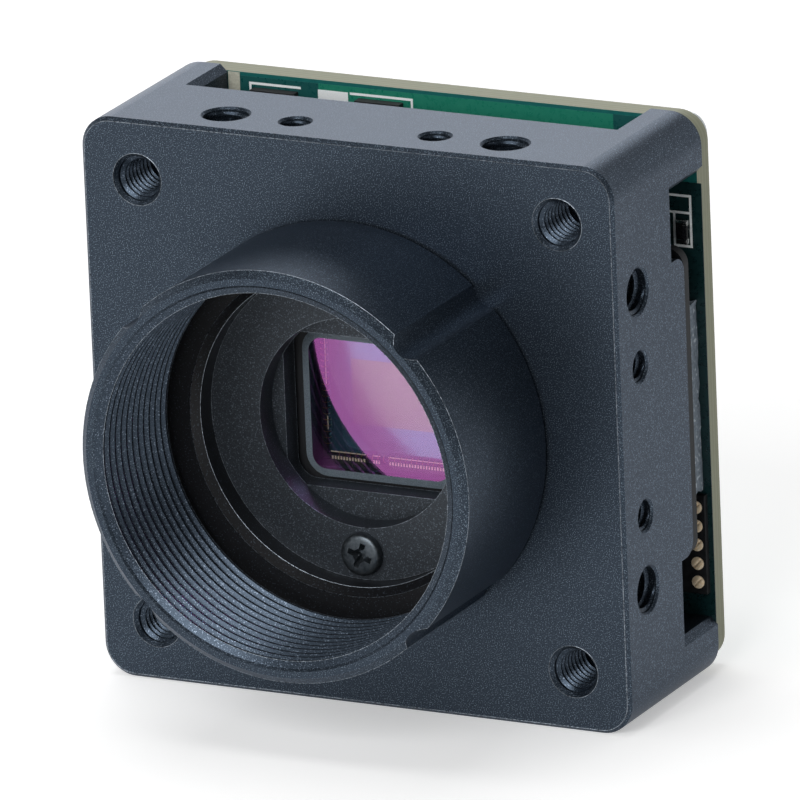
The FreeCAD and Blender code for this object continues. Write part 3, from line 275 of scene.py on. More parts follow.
def coated_glass(name, reflection, share):
    """Glass that mirrors share of the light in its own colour and passes the rest.

    Its colour drifts between the two of reflection over about 4 mm.
    """
    made, tree = new_material(name)
    place = add(tree, "ShaderNodeTexCoord")
    film = add(tree, "ShaderNodeTexNoise",
               {"Vector": place.outputs["Object"], "Scale": 1 / (4 * MM), "Detail": 1.0})
    tint = add(tree, "ShaderNodeMix",
               {"Factor": film.outputs[0], 6: linear(reflection[0]), 7: linear(reflection[1])},
               data_type="RGBA")
    shader = add(tree, "ShaderNodeBsdfPrincipled",
                 {"Base Color": tint.outputs[2], "Metallic": 1.0, "Roughness": 0.02,
                  "Alpha": share})
    finish_material(tree, shader)
    return made


# Infrared-cut coating: mirrors magenta. The glass's other side has no coating and
# mirrors only the few percent that bare glass does.
filter_glass = coated_glass("infrared_cut_coated_glass", ("#e07ae0", "#e884dc"), 0.3)
clear_glass = coated_glass("clear_polished_glass", ("#dfe8ea", "#f2f7f7"), 0.04)


def board_laminate(name):
    """Circuit board: green solder mask on its faces, glass-epoxy with painted shade at its cut
    edges.
    """
    made, tree = new_material(name)
    place = add(tree, "ShaderNodeTexCoord")
    surface = add(tree, "ShaderNodeNewGeometry")
    normal = add(tree, "ShaderNodeSeparateXYZ", {"Vector": surface.outputs["True Normal"]})
    flat = add(tree, "ShaderNodeMath", {0: normal.outputs["Y"]}, operation="ABSOLUTE")
    on_face = add(tree, "ShaderNodeMath", {0: flat.outputs[0], 1: 0.7},
                  operation="GREATER_THAN")
    # The glass cloth's threads lie 0.5 mm apart and show faintly through the mask.
    weave = add(tree, "ShaderNodeTexNoise",
                {"Vector": place.outputs["Object"], "Scale": 1 / (0.5 * MM), "Detail": 2.0})
    mask = add(tree, "ShaderNodeMix",
               {"Factor": weave.outputs[0], 6: linear("#15595a"), 7: linear("#1f6f68")},
               data_type="RGBA")
    # Plies of 0.2 mm, drawn 0.4 mm apart to show: a wave has 3.18 bands per unit of scale.
    plies = add(tree, "ShaderNodeTexWave",
                {"Vector": place.outputs["Object"], "Scale": 1 / (1.26 * MM),
                 "Distortion": 1.5, "Detail": 2.0, "Detail Scale": 2.0},
                bands_direction="Y")
    # The cut edges take the glass-epoxy's colour, darkened below the bare laminate's as painted
    # shade.
    edge = add(tree, "ShaderNodeMix",
               {"Factor": plies.outputs["Fac"], 6: linear("#84866f"), 7: linear("#8d8f79")},
               data_type="RGBA")
    colour = add(tree, "ShaderNodeMix",
                 {"Factor": on_face.outputs[0], 6: edge.outputs[2], 7: mask.outputs[2]},
                 data_type="RGBA")
    # The cut edge is rough, the mask glossy.
    gloss = add(tree, "ShaderNodeMapRange",
                {"Value": on_face.outputs[0], "To Min": 0.6, "To Max": 0.3})
    bump = add(tree, "ShaderNodeBump",
               {"Height": weave.outputs[0], "Distance": 0.004 * MM, "Strength": 1.0})
    shader = add(tree, "ShaderNodeBsdfPrincipled",
                 {"Base Color": colour.outputs[2], "Roughness": gloss.outputs[0],
                  "Normal": bump.outputs[0]})
    finish_material(tree, shader)
    return made


board = board_laminate("solder_masked_circuit_board")


# ---------------------------------------------------------------- making pieces
def facing(origin, axis):
    """The frame whose Z runs along axis from origin."""
    return Matrix.Translation(origin) @ Vector(axis).to_track_quat("Z", "Y").to_matrix().to_4x4()


def block(bm, low, high, soften=0.0, index=0):
    """A box between two corners, its edges rounded by soften."""
    before = set(bm.faces)
    low, high = Vector(low), Vector(high)
    corners = bmesh.ops.create_cube(bm, size=1)["verts"]
    for corner in corners:
        corner.co = Vector(a + (s + 0.5) * (b - a) for a, b, s in zip(low, high, corner.co))
    if soften:
        edges = {edge for corner in corners for edge in corner.link_edges}
        bmesh.ops.bevel(bm, geom=list(edges), offset=soften, segments=2, profile=0.5,
                        affect="EDGES")
    for face in set(bm.faces) - before:
        face.material_index = index


def turned(bm, profile, place, steps):
    """Turns (radius, height) points about the Z of place; a radius of 0 closes an end."""
    rings = []
    for radius, height in profile:
        around = [0] if radius == 0 else range(steps)
        rings.append([bm.verts.new(place @ Vector((radius * math.cos(math.tau * k / steps),
                                                   radius * math.sin(math.tau * k / steps),
                                                   height))) for k in around])
    for lower, upper in zip(rings, rings[1:]):
        for k in range(steps):
            loop = [lower[k % len(lower)], lower[(k + 1) % len(lower)],
                    upper[(k + 1) % len(upper)], upper[k % len(upper)]]
            loop = list(dict.fromkeys(loop))
            if len(loop) > 2:
                bm.faces.new(loop)


def rounded(left, right, low, high, radius, steps=8):
    """Corner points of a rounded rectangle in X and Z."""
    points = []
    for x, z, start in ((right - radius, high - radius, 0), (left + radius, high - radius, 1),
                        (left + radius, low + radius, 2), (right - radius, low + radius, 3)):
        for k in range(steps + 1):
            angle = (start + k / steps) * math.pi / 2
            points.append((x + radius * math.cos(angle), z + radius * math.sin(angle)))
    return points


def stacked(bm, layers, indices):
    """Joins outlines, each (depth, points in X and Z), into a closed solid.

    indices gives the material of the first end, of each band and of the last end.
    """
    rings = [[bm.verts.new((x, depth, z)) for x, z in points] for depth, points in layers]
    bm.faces.new(rings[0]).material_index = indices[0]
    for number, (near, far) in enumerate(zip(rings, rings[1:])):
        for k in range(len(near)):
            after = (k + 1) % len(near)
            made = bm.faces.new((near[k], near[after], far[after], far[k]))
            made.material_index = indices[number + 1]
    bm.faces.new(rings[-1]).material_index = indices[-1]


def mesh_of(name, bm):
    """A mesh of what bm holds; bm is used up."""
    mesh = bpy.data.meshes.new(name)
    bm.to_mesh(mesh)
    bm.free()
    return mesh


def in_scene(name, data):
    """A new object made of data and linked into the scene."""
    made = bpy.data.objects.new(name, data)
    bpy.context.scene.collection.objects.link(made)
    return made


def piece(name, bm, finishes, replaced=(), sharp=35):
    """Makes a piece of what bm holds, smooth but for edges sharper than that many degrees."""
    bmesh.ops.recalc_face_normals(bm, faces=bm.faces)
    mesh = mesh_of(name, bm)
    for finish in finishes:
        mesh.materials.append(finish)
    smooth(mesh, sharp)
    made = in_scene(name, mesh)
    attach(made, "root")
    if replaced:
        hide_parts(*replaced)
    return made


def smooth(mesh, sharp):
    """Shades a mesh smooth but for edges sharper than that many degrees."""
    mesh.polygons.foreach_set("use_smooth", [True] * len(mesh.polygons))
    mesh.set_sharp_from_angle(angle=math.radians(sharp))
    mesh.update()


def dress(node, *finishes, sharp=30, choose=None):
    """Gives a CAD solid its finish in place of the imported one.

    choose picks the finish of a face from the place of its centre.
    """
    mesh = nodes[node].data
    mesh.materials.clear()
    for finish in finishes:
        mesh.materials.append(finish)
    if choose:
        place = nodes[node].matrix_world
        for face in mesh.polygons:
            face.material_index = choose(place @ face.center)
    smooth(mesh, sharp)


def solids(node):
    """The boxes of a node's separate solids, as (low, high), from left to right."""
    bm = bmesh.new()
    bm.from_mesh(nodes[node].data)
    bmesh.ops.remove_doubles(bm, verts=bm.verts, dist=1e-7)
    waiting, boxes = set(bm.verts), []
    while waiting:
        group, edge = [], [waiting.pop()]
        while edge:
            vert = edge.pop()
            group.append(vert.co.copy())
            for link in vert.link_edges:
                other = link.other_vert(vert)
                if other in waiting:
                    waiting.remove(other)
                    edge.append(other)
        boxes.append((Vector(map(min, *group)), Vector(map(max, *group))))
    bm.free()
    return sorted(boxes, key=lambda box: (round(box[0].x, 5), round(box[0].z, 5)))


# ---------------------------------------------------------------- screw threads
def ridge(bm, mouth, axis, radius, pitch, length, steps):
    """The helical ridge of a 60 degree thread, standing in from the wall of a hole.

    mouth is where the thread starts and axis points out of the hole. The ridge fades
    over its first and last third of a turn, and its foot is buried in the wall.
    """
    bury, faded = 0.02 * MM, 0.02
    depth, foot, crest = 0.5413 * pitch, 0.4375 * pitch, 0.125 * pitch
    place = facing(mouth, axis)
    count = round((length / pitch - 1) * steps)
    rows = []
    for k in range(count + 1):
        angle = -math.tau * k / steps
        height = -pitch / 2 - pitch * k / steps
        fade = min(1, 3 * k / steps, 3 * (count - k) / steps)
        inner = radius - depth * max(fade, faded)
        rows.append([bm.verts.new(place @ Vector((r * math.cos(angle), r * math.sin(angle),
                                                  height + rise)))
                     for r, rise in ((radius + bury, foot), (inner, crest),
                                     (inner, -crest), (radius + bury, -foot))])
    for first, second in zip(rows, rows[1:]):
        for a in range(4):
            b = (a + 1) % 4
            bm.faces.new((first[a], first[b], second[b], second[a]))
    bm.faces.new(rows[0])
    bm.faces.new(rows[-1][::-1])


M3_PITCH, M2_PITCH = 0.5 * MM, 0.4 * MM
M3_STEPS, M2_STEPS = 40, 28
FRONT_HOLE_DEPTH, FRONT_COUNTERSINK = 5.0 * MM, 0.25 * MM
SIDE_HOLE_DEPTH, SIDE_COUNTERSINK = 3.5 * MM, 0.15 * MM

bm = bmesh.new()
front = mounts["front_m3"]
for side in (-1, 1):
    for rise in (-1, 1):
        across = side * front["dims"]["spacing_x_mm"] / 2 * MM
        up = rise * front["dims"]["spacing_y_mm"] / 2 * MM
        start = Vector(front["pos_m"]) + Vector((across, FRONT_COUNTERSINK, up))
        ridge(bm, start, FRONT, front["dims"]["hole_r_mm"] * MM, M3_PITCH,
              FRONT_HOLE_DEPTH - FRONT_COUNTERSINK, M3_STEPS)
for mount in mounts.values():
    if mount["kind"] == "threaded_hole" and mount["name"] != "lens_thread":
        axis = Vector(mount["axis"])
        length = mount["dims"]["length_mm"] * MM
        start = Vector(mount["pos_m"]) + axis * length / 2
        ridge(bm, start, axis, mount["dims"]["r_mm"] * MM, M3_PITCH, length, M3_STEPS)
piece("m3_thread_ridges", bm, [thread_anodised])

bm = bmesh.new()
for name in ("base_m2", "top_m2", "left_m2", "right_m2"):
    mount = mounts[name]
    axis = Vector(mount["axis"])
    dims = mount["dims"]
    run, spacing = ((RIGHT, dims["spacing_x_mm"]) if "spacing_x_mm" in dims
                    else (UP, dims["spacing_y_mm"]))
    for side in (-1, 1):
        start = Vector(mount["pos_m"]) - axis * SIDE_COUNTERSINK + run * side * spacing / 2 * MM
        ridge(bm, start, axis, dims["hole_r_mm"] * MM, M2_PITCH,
              SIDE_HOLE_DEPTH - SIDE_COUNTERSINK, M2_STEPS)
piece("m2_thread_ridges", bm, [thread_anodised])


# ---------------------------------------------------------------- screws
# An M1.6 pan head screw; EDGE sets how far its corners are rounded.
HEAD_RADIUS, HEAD_HEIGHT = 1.425 * MM, 0.55 * MM
SHANK_RADIUS = 0.62 * MM
EDGE = 0.12 * MM
SCREW_STEPS = 64
# A wing of the cross recess at its top and its foot, in millimetres: its length, its
# width and its height above the crown of the head.
WING_TOP, WING_FOOT = (1.9, 0.4, 0.15), (0.75, 0.28, -0.8)


def cross_head_screws(name, node, axis, finish, spin):
    """Pan head screws with a tapered cross recess, in place of a node's plain ones.

    axis points out of the heads and spin turns the cross about it.
    """
    made = bmesh.new()
    cutters = bmesh.new()
    for low, high in solids(node):
        middle = (low + high) / 2
        seat = Vector((middle.x, high.y - HEAD_HEIGHT if axis.y > 0 else low.y + HEAD_HEIGHT,
                       middle.z))
        length = (high.y - low.y) - HEAD_HEIGHT
        place = facing(seat, axis) @ Matrix.Rotation(spin, 4, "Z")
        turned(made, [(0, -length), (SHANK_RADIUS, -length + EDGE), (SHANK_RADIUS, 0),
                      (HEAD_RADIUS - EDGE / 2, 0), (HEAD_RADIUS, EDGE / 2),
                      (HEAD_RADIUS, HEAD_HEIGHT - 2.4 * EDGE),
                      (HEAD_RADIUS - 0.35 * EDGE, HEAD_HEIGHT - 1.3 * EDGE),
                      (HEAD_RADIUS - 1.2 * EDGE, HEAD_HEIGHT - 0.5 * EDGE),
                      (HEAD_RADIUS - 3 * EDGE, HEAD_HEIGHT), (0, HEAD_HEIGHT)], place,
               SCREW_STEPS)
        for quarter in (0, math.pi / 2):
            wing = bmesh.ops.create_cube(cutters, size=1)["verts"]
            for corner in wing:
                long, wide, rise = WING_TOP if corner.co.z > 0 else WING_FOOT
                tapered = Vector((corner.co.x * long * MM, corner.co.y * wide * MM,
                                  HEAD_HEIGHT + rise * MM))
                corner.co = place @ Matrix.Rotation(quarter, 4, "Z") @ tapered
        # The round seat that the driver's tip leaves in the middle of the cross.
        turned(cutters, [(0, HEAD_HEIGHT - 0.5 * MM), (0.3 * MM, HEAD_HEIGHT - 0.4 * MM),
                         (0.5 * MM, HEAD_HEIGHT + 0.05 * MM), (0, HEAD_HEIGHT + 0.05 * MM)],
               place, 12)
    screws = piece(name, made, [finish], [node])
    bmesh.ops.recalc_face_normals(cutters, faces=cutters.faces)
    recess = in_scene("recess", mesh_of("recess", cutters))
    cut = screws.modifiers.new("recess", "BOOLEAN")
    cut.object, cut.operation, cut.solver, cut.use_self = recess, "DIFFERENCE", "EXACT", True
    bpy.context.view_layer.update()
    shaped = bpy.data.meshes.new_from_object(
        screws.evaluated_get(bpy.context.evaluated_depsgraph_get()))
    screws.modifiers.clear()
    screws.data = shaped
    smooth(shaped, 30)
    bpy.data.objects.remove(recess)


cross_head_screws("aperture_plate_screws", "aperture_screws", FRONT, oxide_steel,
                  math.radians(-20))
cross_head_screws("sensor_board_cross_screws", "sensor_board_screws", BACK, zinc,
                  math.radians(20))
cross_head_screws("main_board_cross_screws", "main_board_screws", BACK, zinc,
                  math.radians(32))


# ---------------------------------------------------------------- sensor
glass_low, glass_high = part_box("cover_glass")
BEVEL_WIDTH, BEVEL_DEPTH, GLASS_CORNER = 0.62 * MM, 0.3 * MM, 1.6 * MM
# The glass stays this far inside its block.
GLASS_PLAY = 0.02 * MM


def above_axis(height):
    """The Z of a height in millimetres above the lens axis."""
    return AXIS_HEIGHT + height * MM


def glass_outline(inset):
    """The glass's rounded outline, drawn in by inset."""
    return rounded(glass_low.x + inset, glass_high.x - inset, glass_low.z + inset,
                   glass_high.z - inset, GLASS_CORNER - inset)


bm = bmesh.new()
stacked(bm, [(glass_low.y, glass_outline(BEVEL_WIDTH)),
             (glass_low.y + BEVEL_DEPTH, glass_outline(GLASS_PLAY)),
             (glass_high.y, glass_outline(GLASS_PLAY))], [0, 1, 1, 2])
piece("coated_cover_glass", bm, [filter_glass, ground_glass, clear_glass],
      ["cover_glass"], sharp=15)

die_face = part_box("sensor_die")[0].y
# How far the layers on the die stand proud of its face.
PRINT = 0.012 * MM


def on_die(bm, left, right, low, high):
    """A thin rectangle on the die's face; sizes in mm, heights from the axis."""
    block(bm, (left * MM, die_face - PRINT, above_axis(low)),
          (right * MM, die_face + PRINT, above_axis(high)))


bm = bmesh.new()
on_die(bm, -2.97, 2.80, -1.92, 2.50)
piece("pixel_array", bm, [pixel_array])

# Two bus lines up the left edge, then the bond rows along the lower edge in three
# groups: each is a bus line with a row of pads under it.
BUS_HEIGHT, BUS_WIDTH = -4.0, 0.07
PAD_PITCH, PAD_HALF_WIDTH, PAD_FOOT, PAD_TOP = 0.2, 0.06, -4.48, -4.26
bm = bmesh.new()
for low, high in ((0.6, 4.0), (-2.5, -1.6)):
    on_die(bm, -4.87, -4.80, low, high)
for left, right in ((-4.7, -2.2), (-1.7, -1.15), (-0.55, 4.7)):
    on_die(bm, left, right, BUS_HEIGHT, BUS_HEIGHT + BUS_WIDTH)
    count = round((right - left) / PAD_PITCH)
    for k in range(count):
        x = left + (k + 0.5) * (right - left) / count
        on_die(bm, x - PAD_HALF_WIDTH, x + PAD_HALF_WIDTH, PAD_FOOT, PAD_TOP)
piece("bond_pads", bm, [pad_metal])


# ---------------------------------------------------------------- main board
board_low, board_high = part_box("main_board")
# How thick ink is drawn, and a sheet of copper or mask.
INK = 0.02 * MM
SHEET = 0.03 * MM


def panel(bm, left, right, low, high, thickness, back=False):
    """A thin rectangle on the main board's front or back; sizes in mm, heights from the axis."""
    face = board_high.y if back else board_low.y
    near, far = (face - INK / 2, face + thickness) if back else (face - thickness, face + INK / 2)
    block(bm, (left * MM, near, above_axis(low)), (right * MM, far, above_axis(high)))


# Each layer on the board's front with its rectangles: left, right, low and high.
for name, finish, thickness, areas in (
        ("front_copper_pour", copper_mask, SHEET, [(-8.4, 12.78, 14.6, 18.35)]),
        ("front_bare_mask", bare_mask, SHEET,
         [(-14.11, -8.4, 14.6, 18.35), (12.78, 15.6, 14.6, 18.35)]),
        # Painted shade: the board's face inside the right-hand opening is drawn nearly black.
        ("front_dark_mask", mask_painted_shade, SHEET, [(14.2, 18.9, -16.9, 14.3)]),
        ("front_bare_strip", laminate, SHEET, [(-14.95, -14.11, 14.6, 18.55)]),
        # Corner and frame lines round the parts, and one solid mark.
        ("front_screen_print", silk_ink, SHEET + INK,
         [(-13.43, -9.68, 17.84, 18.0), (-13.43, -13.27, 15.4, 17.84),
          (-8.44, -6.27, 17.3, 17.95),
          (-6.13, -1.58, 17.82, 17.98), (-1.74, -1.58, 15.4, 17.82),
          (16.1, 18.15, 13.28, 13.44), (17.99, 18.15, 9.9, 13.28), (16.1, 17.99, 12.14, 12.30),
          (16.82, 16.98, 9.9, 12.14), (16.98, 17.99, 9.9, 10.06)])):
    bm = bmesh.new()
    for area in areas:
        panel(bm, *area, thickness)
    piece(name, bm, [finish])


# A chip part's cap takes this share of its length; its body lies a skin's depth inside.
CAP_SHARE, SKIN = 0.22, 0.03 * MM
CAP_ROUNDING, BODY_ROUNDING = 0.05 * MM, 0.03 * MM


def chips(name, node, body):
    """Chip parts in place of a node's plain ones: a fired body, a tinned cap on each end."""
    made = bmesh.new()
    for low, high in solids(node):
        size = high - low
        axis = 0 if size.x > size.z else 2
        cap = CAP_SHARE * size[axis]
        a, b = low.copy(), high.copy()
        b[axis] = low[axis] + cap
        block(made, a, b, CAP_ROUNDING, 1)
        a, b = low.copy(), high.copy()
        a[axis] = high[axis] - cap
        block(made, a, b, CAP_ROUNDING, 1)
        a, b = low.copy(), high.copy()
        a[axis] += cap / 2
        b[axis] -= cap / 2
        for other in {0, 1, 2} - {axis}:
            a[other] += SKIN
            b[other] -= SKIN
        block(made, a, b, BODY_ROUNDING, 0)
    piece(name, made, [body, solder], [node])


chips("front_chip_capacitors", "front_capacitors", capacitor)
chips("rear_chip_capacitors", "rear_capacitors", capacitor)
chips("sensor_chip_capacitors", "sensor_capacitors", capacitor)
chips("edge_chip_resistor", "edge_resistor", resistor_body)


# ---------------------------------------------------------------- thermal pad
pad_low, pad_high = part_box("thermal_pad")
# Cuts along each axis of the pad's block, the lumps' size, the torn bites' size across
# and along the board, and how far the sides and the ends are eaten, all in millimetres.
PAD_CUTS = ((26, 2), (26, 0), (6, 1))
LUMP, BITE_WIDTH, BITE_DEPTH = 1.3, 1.8, 1.2
EATEN = ((0, 0.16), (2, 0.5))


def crumbled_pad():
    """The pad is cut by hand: lumpy faces and ragged ends, all inside its block."""
    made = bmesh.new()
    block(made, pad_low, pad_high)
    for cuts, axis in PAD_CUTS:
        edges = [edge for edge in made.edges
                 if abs((edge.verts[0].co - edge.verts[1].co).normalized()[axis]) > 0.9]
        bmesh.ops.subdivide_edges(made, edges=edges, cuts=cuts, use_grid_fill=True)
    middle = (pad_low + pad_high) / 2
    half = (pad_high - pad_low) / 2
    for vert in made.verts:
        lump = noise.fractal(vert.co / (LUMP * MM), 0.8, 2.0, 4)
        ragged = noise.noise(Vector((vert.co.x / (BITE_WIDTH * MM),
                                     vert.co.y / (BITE_DEPTH * MM), 7.0)))
        for axis, reach in EATEN:
            side = (vert.co[axis] - middle[axis]) / half[axis]
            if abs(side) > 0.999:
                bite = abs(lump) if axis == 0 else abs(ragged) + 0.3 * abs(lump)
                vert.co[axis] -= math.copysign(bite * reach * MM, side)
    piece("gap_pad", made, [gap_pad], ["thermal_pad"], sharp=60)


crumbled_pad()


# ---------------------------------------------------------------- edge contacts
# How much of a contact's height the dome drops at its rim and the crease in its middle,
# and the crease's width as a share of the radius.
RIM_DROP, CREASE_DROP, CREASE_WIDTH = 0.45, 0.5, 0.14


def spring_contacts():
    """Round gold contacts, each domed and folded along a diagonal crease."""
    made = bmesh.new()
    rings, steps = 10, 40
    for low, high in solids("edge_contacts"):
        centre = (low + high) / 2
        radius = (high.x - low.x) / 2
        rise = high.y - low.y

        def height(x, z):
            out = math.hypot(x, z) / radius
            fold = abs(x - z) / (radius * math.sqrt(2))
            crease = CREASE_DROP * math.exp(-(fold / CREASE_WIDTH) ** 2)
            return rise * (1 - RIM_DROP * out ** 3) * (1 - crease)

        place = [[made.verts.new((centre.x, high.y - height(0, 0), centre.z))]]
        for ring in range(1, rings + 1):
            row = []
            for k in range(steps):
                x = radius * ring / rings * math.cos(math.tau * k / steps)
                z = radius * ring / rings * math.sin(math.tau * k / steps)
                row.append(made.verts.new((centre.x + x, high.y - height(x, z), centre.z + z)))
            place.append(row)
        place.append([made.verts.new((v.co.x, high.y, v.co.z)) for v in place[-1]])
        place.append([made.verts.new((centre.x, high.y, centre.z))])
        for inner, outer in zip(place, place[1:]):
            for k in range(steps):
                loop = dict.fromkeys((inner[k % len(inner)], inner[(k + 1) % len(inner)],
                                      outer[(k + 1) % len(outer)], outer[k % len(outer)]))
                if len(loop) > 2:
                    made.faces.new(list(loop))
    piece("gold_edge_contacts", made, [gold_painted_highlight], ["edge_contacts"])


spring_contacts()


# ---------------------------------------------------------------- back of the main board
# A printed frame round each of the larger parts.
FRAME_GAP, FRAME_WIDTH = 0.45 * MM, 0.15 * MM
bm = bmesh.new()
for low, high in [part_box("memory_chip"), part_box("data_port_shell"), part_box("signal_socket")]:
    left, right = low.x - FRAME_GAP, high.x + FRAME_GAP
    foot, top = low.z - FRAME_GAP, high.z + FRAME_GAP
    near, far = board_high.y - INK / 2, board_high.y + SHEET + INK
    for x0, x1, z0, z1 in (
            (left, right, foot, foot + FRAME_WIDTH), (left, right, top - FRAME_WIDTH, top),
            (left, left + FRAME_WIDTH, foot + FRAME_WIDTH, top - FRAME_WIDTH),
            (right - FRAME_WIDTH, right, foot + FRAME_WIDTH, top - FRAME_WIDTH)):
        block(bm, (x0, near, z0), (x1, far, z1))
piece("rear_screen_print", bm, [silk_ink])

# Copper under the mask: three pours, nine traces that fan out and six short ones.
TRACE, SHORT_TRACE = 0.16, 0.18
bm = bmesh.new()
for area in ((-13.9, 13.9, -13.2, -12.6), (2.4, 4.6, -12.0, 5.0), (-16.6, -9.0, -4.6, 7.6)):
    panel(bm, *area, SHEET, True)
for k in range(9):
    rise = -11.2 + k * 0.42
    panel(bm, 4.6, 4.6 + 5.5 + 0.4 * k, rise, rise + TRACE, SHEET, True)
for k in range(6):
    across = -6.1 + 1.25 * k
    panel(bm, across, across + SHORT_TRACE, 1.6 + 0.3 * (k % 3), 8.2, SHEET, True)
piece("rear_copper", bm, [copper_mask])

# Masked via collars, scattered over the board but for its corners, where screws sit.
random.seed(12)
VIA_RADIUS, VIA_HOLE, VIA_FLOOR = 0.3 * MM, 0.14 * MM, 0.1 * MM
# How far out they go, and where a corner starts along one edge and along the other.
VIA_REACH, CORNER_LONG, CORNER_SHORT = 17.5, 14.5, 14.0
bm = bmesh.new()
for _ in range(70):
    x = random.uniform(-VIA_REACH, VIA_REACH)
    z = random.uniform(-VIA_REACH, VIA_REACH)
    if max(abs(x), abs(z)) < CORNER_LONG or min(abs(x), abs(z)) < CORNER_SHORT:
        place = facing((x * MM, board_high.y, above_axis(z)), BACK)
        turned(bm, [(0, -INK), (VIA_RADIUS, -INK), (VIA_RADIUS, SHEET), (VIA_HOLE, SHEET),
                    (VIA_FLOOR, SHEET / 3), (0, SHEET / 3)], place, 16)
piece("rear_vias", bm, [copper_mask])

# The data port's contacts: a row on each face of its tongue, sizes in millimetres.
CONTACT_COUNT, CONTACT_PITCH, CONTACT_WIDTH = 12, 0.5, 0.25
CONTACT_BACK, CONTACT_FRONT = 3.4 * MM, 0.35 * MM
tongue_low, tongue_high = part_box("data_port_tongue")
bm = bmesh.new()
for face, out in ((tongue_low.z, -1), (tongue_high.z, 1)):
    near, far = sorted((face - out * 0.01 * MM, face + out * 0.03 * MM))
    for k in range(CONTACT_COUNT):
        x = ((tongue_low.x + tongue_high.x) / 2
             + (k - (CONTACT_COUNT - 1) / 2) * CONTACT_PITCH * MM)
        block(bm, (x - CONTACT_WIDTH / 2 * MM, tongue_high.y - CONTACT_BACK, near),
              (x + CONTACT_WIDTH / 2 * MM, tongue_high.y - CONTACT_FRONT, far))
piece("data_port_contacts", bm, [gold])


# ---------------------------------------------------------------- CAD solids that show as they are
THREAD_ROOT = 12.7 * MM
lens_thread = mounts["lens_thread"]
thread_end = lens_thread["pos_m"][1] + lens_thread["dims"]["length_mm"] / 2 * MM


def off_axis(place):
    """How far a place is from the lens axis."""
    return math.hypot(place.x, place.z - AXIS_HEIGHT)


def housing_finish(place):
    """Blasted outside, machined over the lens thread, painted shade in the bore behind it."""
    if off_axis(place) > THREAD_ROOT + 0.05 * MM:
        return 0
    return 1 if place.y < thread_end else 2


dress("housing", anodised, thread_anodised, bore_painted_shade, sharp=28, choose=housing_finish)
dress("bond_wires", bond_gold, sharp=60)
for node, finish in (
        ("aperture_plate", plate_black), ("dust_gasket", rubber), ("sensor_package", ceramic),
        ("sensor_die", die_metal), ("sensor_board", board), ("focus_shims", stainless),
        ("board_plug", ivory_lcp), ("board_socket", ivory_lcp), ("main_board", board),
        ("heat_spreader", painted_black), ("image_processor", chip_epoxy),
        ("power_regulator", chip_epoxy), ("driver_chips", chip_epoxy),
        ("memory_chip", chip_epoxy), ("power_inductors", ferrite_core),
        ("contact_base", black_nylon), ("clock_oscillator", tin), ("data_port_shell", tin),
        ("data_port_tongue", black_nylon), ("signal_socket", ivory_lcp),
        ("signal_pins", gold)):
    dress(node, finish)


# ---------------------------------------------------------------- painted edge highlights
def lay_highlight_beads(bm, node, keep, width):
    """Lays a fine square bead, which carries a painted highlight, along the outward edges of a CAD
    solid that keep picks.

    An edge counts when its two faces turn by more than 35 degrees.
    """
    source = bmesh.new()
    source.from_mesh(nodes[node].data)
    bmesh.ops.remove_doubles(source, verts=source.verts, dist=1e-7)
    source.normal_update()
    place = nodes[node].matrix_world
    for edge in source.edges:
        if not (edge.is_manifold and edge.is_convex
                and edge.calc_face_angle() > math.radians(35)):
            continue
        start, end = (place @ vert.co for vert in edge.verts)
        if not (keep(start) and keep(end)):
            continue
        out = (edge.link_faces[0].normal + edge.link_faces[1].normal).normalized() * width
        across = (end - start).normalized().cross(out)
        ends = [[bm.verts.new(point + shift) for shift in (out, across, -out, -across)]
                for point in (start, end)]
        for k in range(4):
            after = (k + 1) % 4
            bm.faces.new((ends[0][k], ends[0][after], ends[1][after], ends[1][k]))
        bm.faces.new(ends[0][::-1])
        bm.faces.new(ends[1])
    source.free()


FACE = mounts["front_m3"]["pos_m"][1]
MOUTH = cad_box[0].y
RING_RADIUS = 14.0 * MM
# How wide a painted highlight line is.
FINE, BROAD = 0.02 * MM, 0.025 * MM
bm = bmesh.new()
# The steps of the bore behind the thread, the lens ring's mouth, the front face
# outside the ring with its holes, and the aperture plate.
lay_highlight_beads(bm, "housing", lambda at: off_axis(at) < THREAD_ROOT + 0.1 * MM and at.y > thread_end,
     FINE)
lay_highlight_beads(bm, "housing", lambda at: MOUTH + 0.05 * MM < at.y < MOUTH + 0.5 * MM, FINE)
lay_highlight_beads(bm, "housing", lambda at: abs(at.y - FACE) < 0.02 * MM and off_axis(at) > RING_RADIUS,
     BROAD)
lay_highlight_beads(bm, "aperture_plate", lambda at: off_axis(at) < THREAD_ROOT, FINE)
piece("painted_edge_highlights", bm, [painted_edge_highlight])


# ---------------------------------------------------------------- floor, light and camera
WHITE = (1, 1, 1, 1)


def seen_directly(tree):
    """1 for rays from the camera, off gloss and through glass, else 0."""
    path = add(tree, "ShaderNodeLightPath")
    either = add(tree, "ShaderNodeMath", {0: path.outputs["Is Camera Ray"],
                                          1: path.outputs["Is Glossy Ray"]},
                 operation="MAXIMUM")
    return add(tree, "ShaderNodeMath", {0: either.outputs[0],
                                        1: path.outputs["Is Transmission Ray"]},
               operation="MAXIMUM").outputs[0]


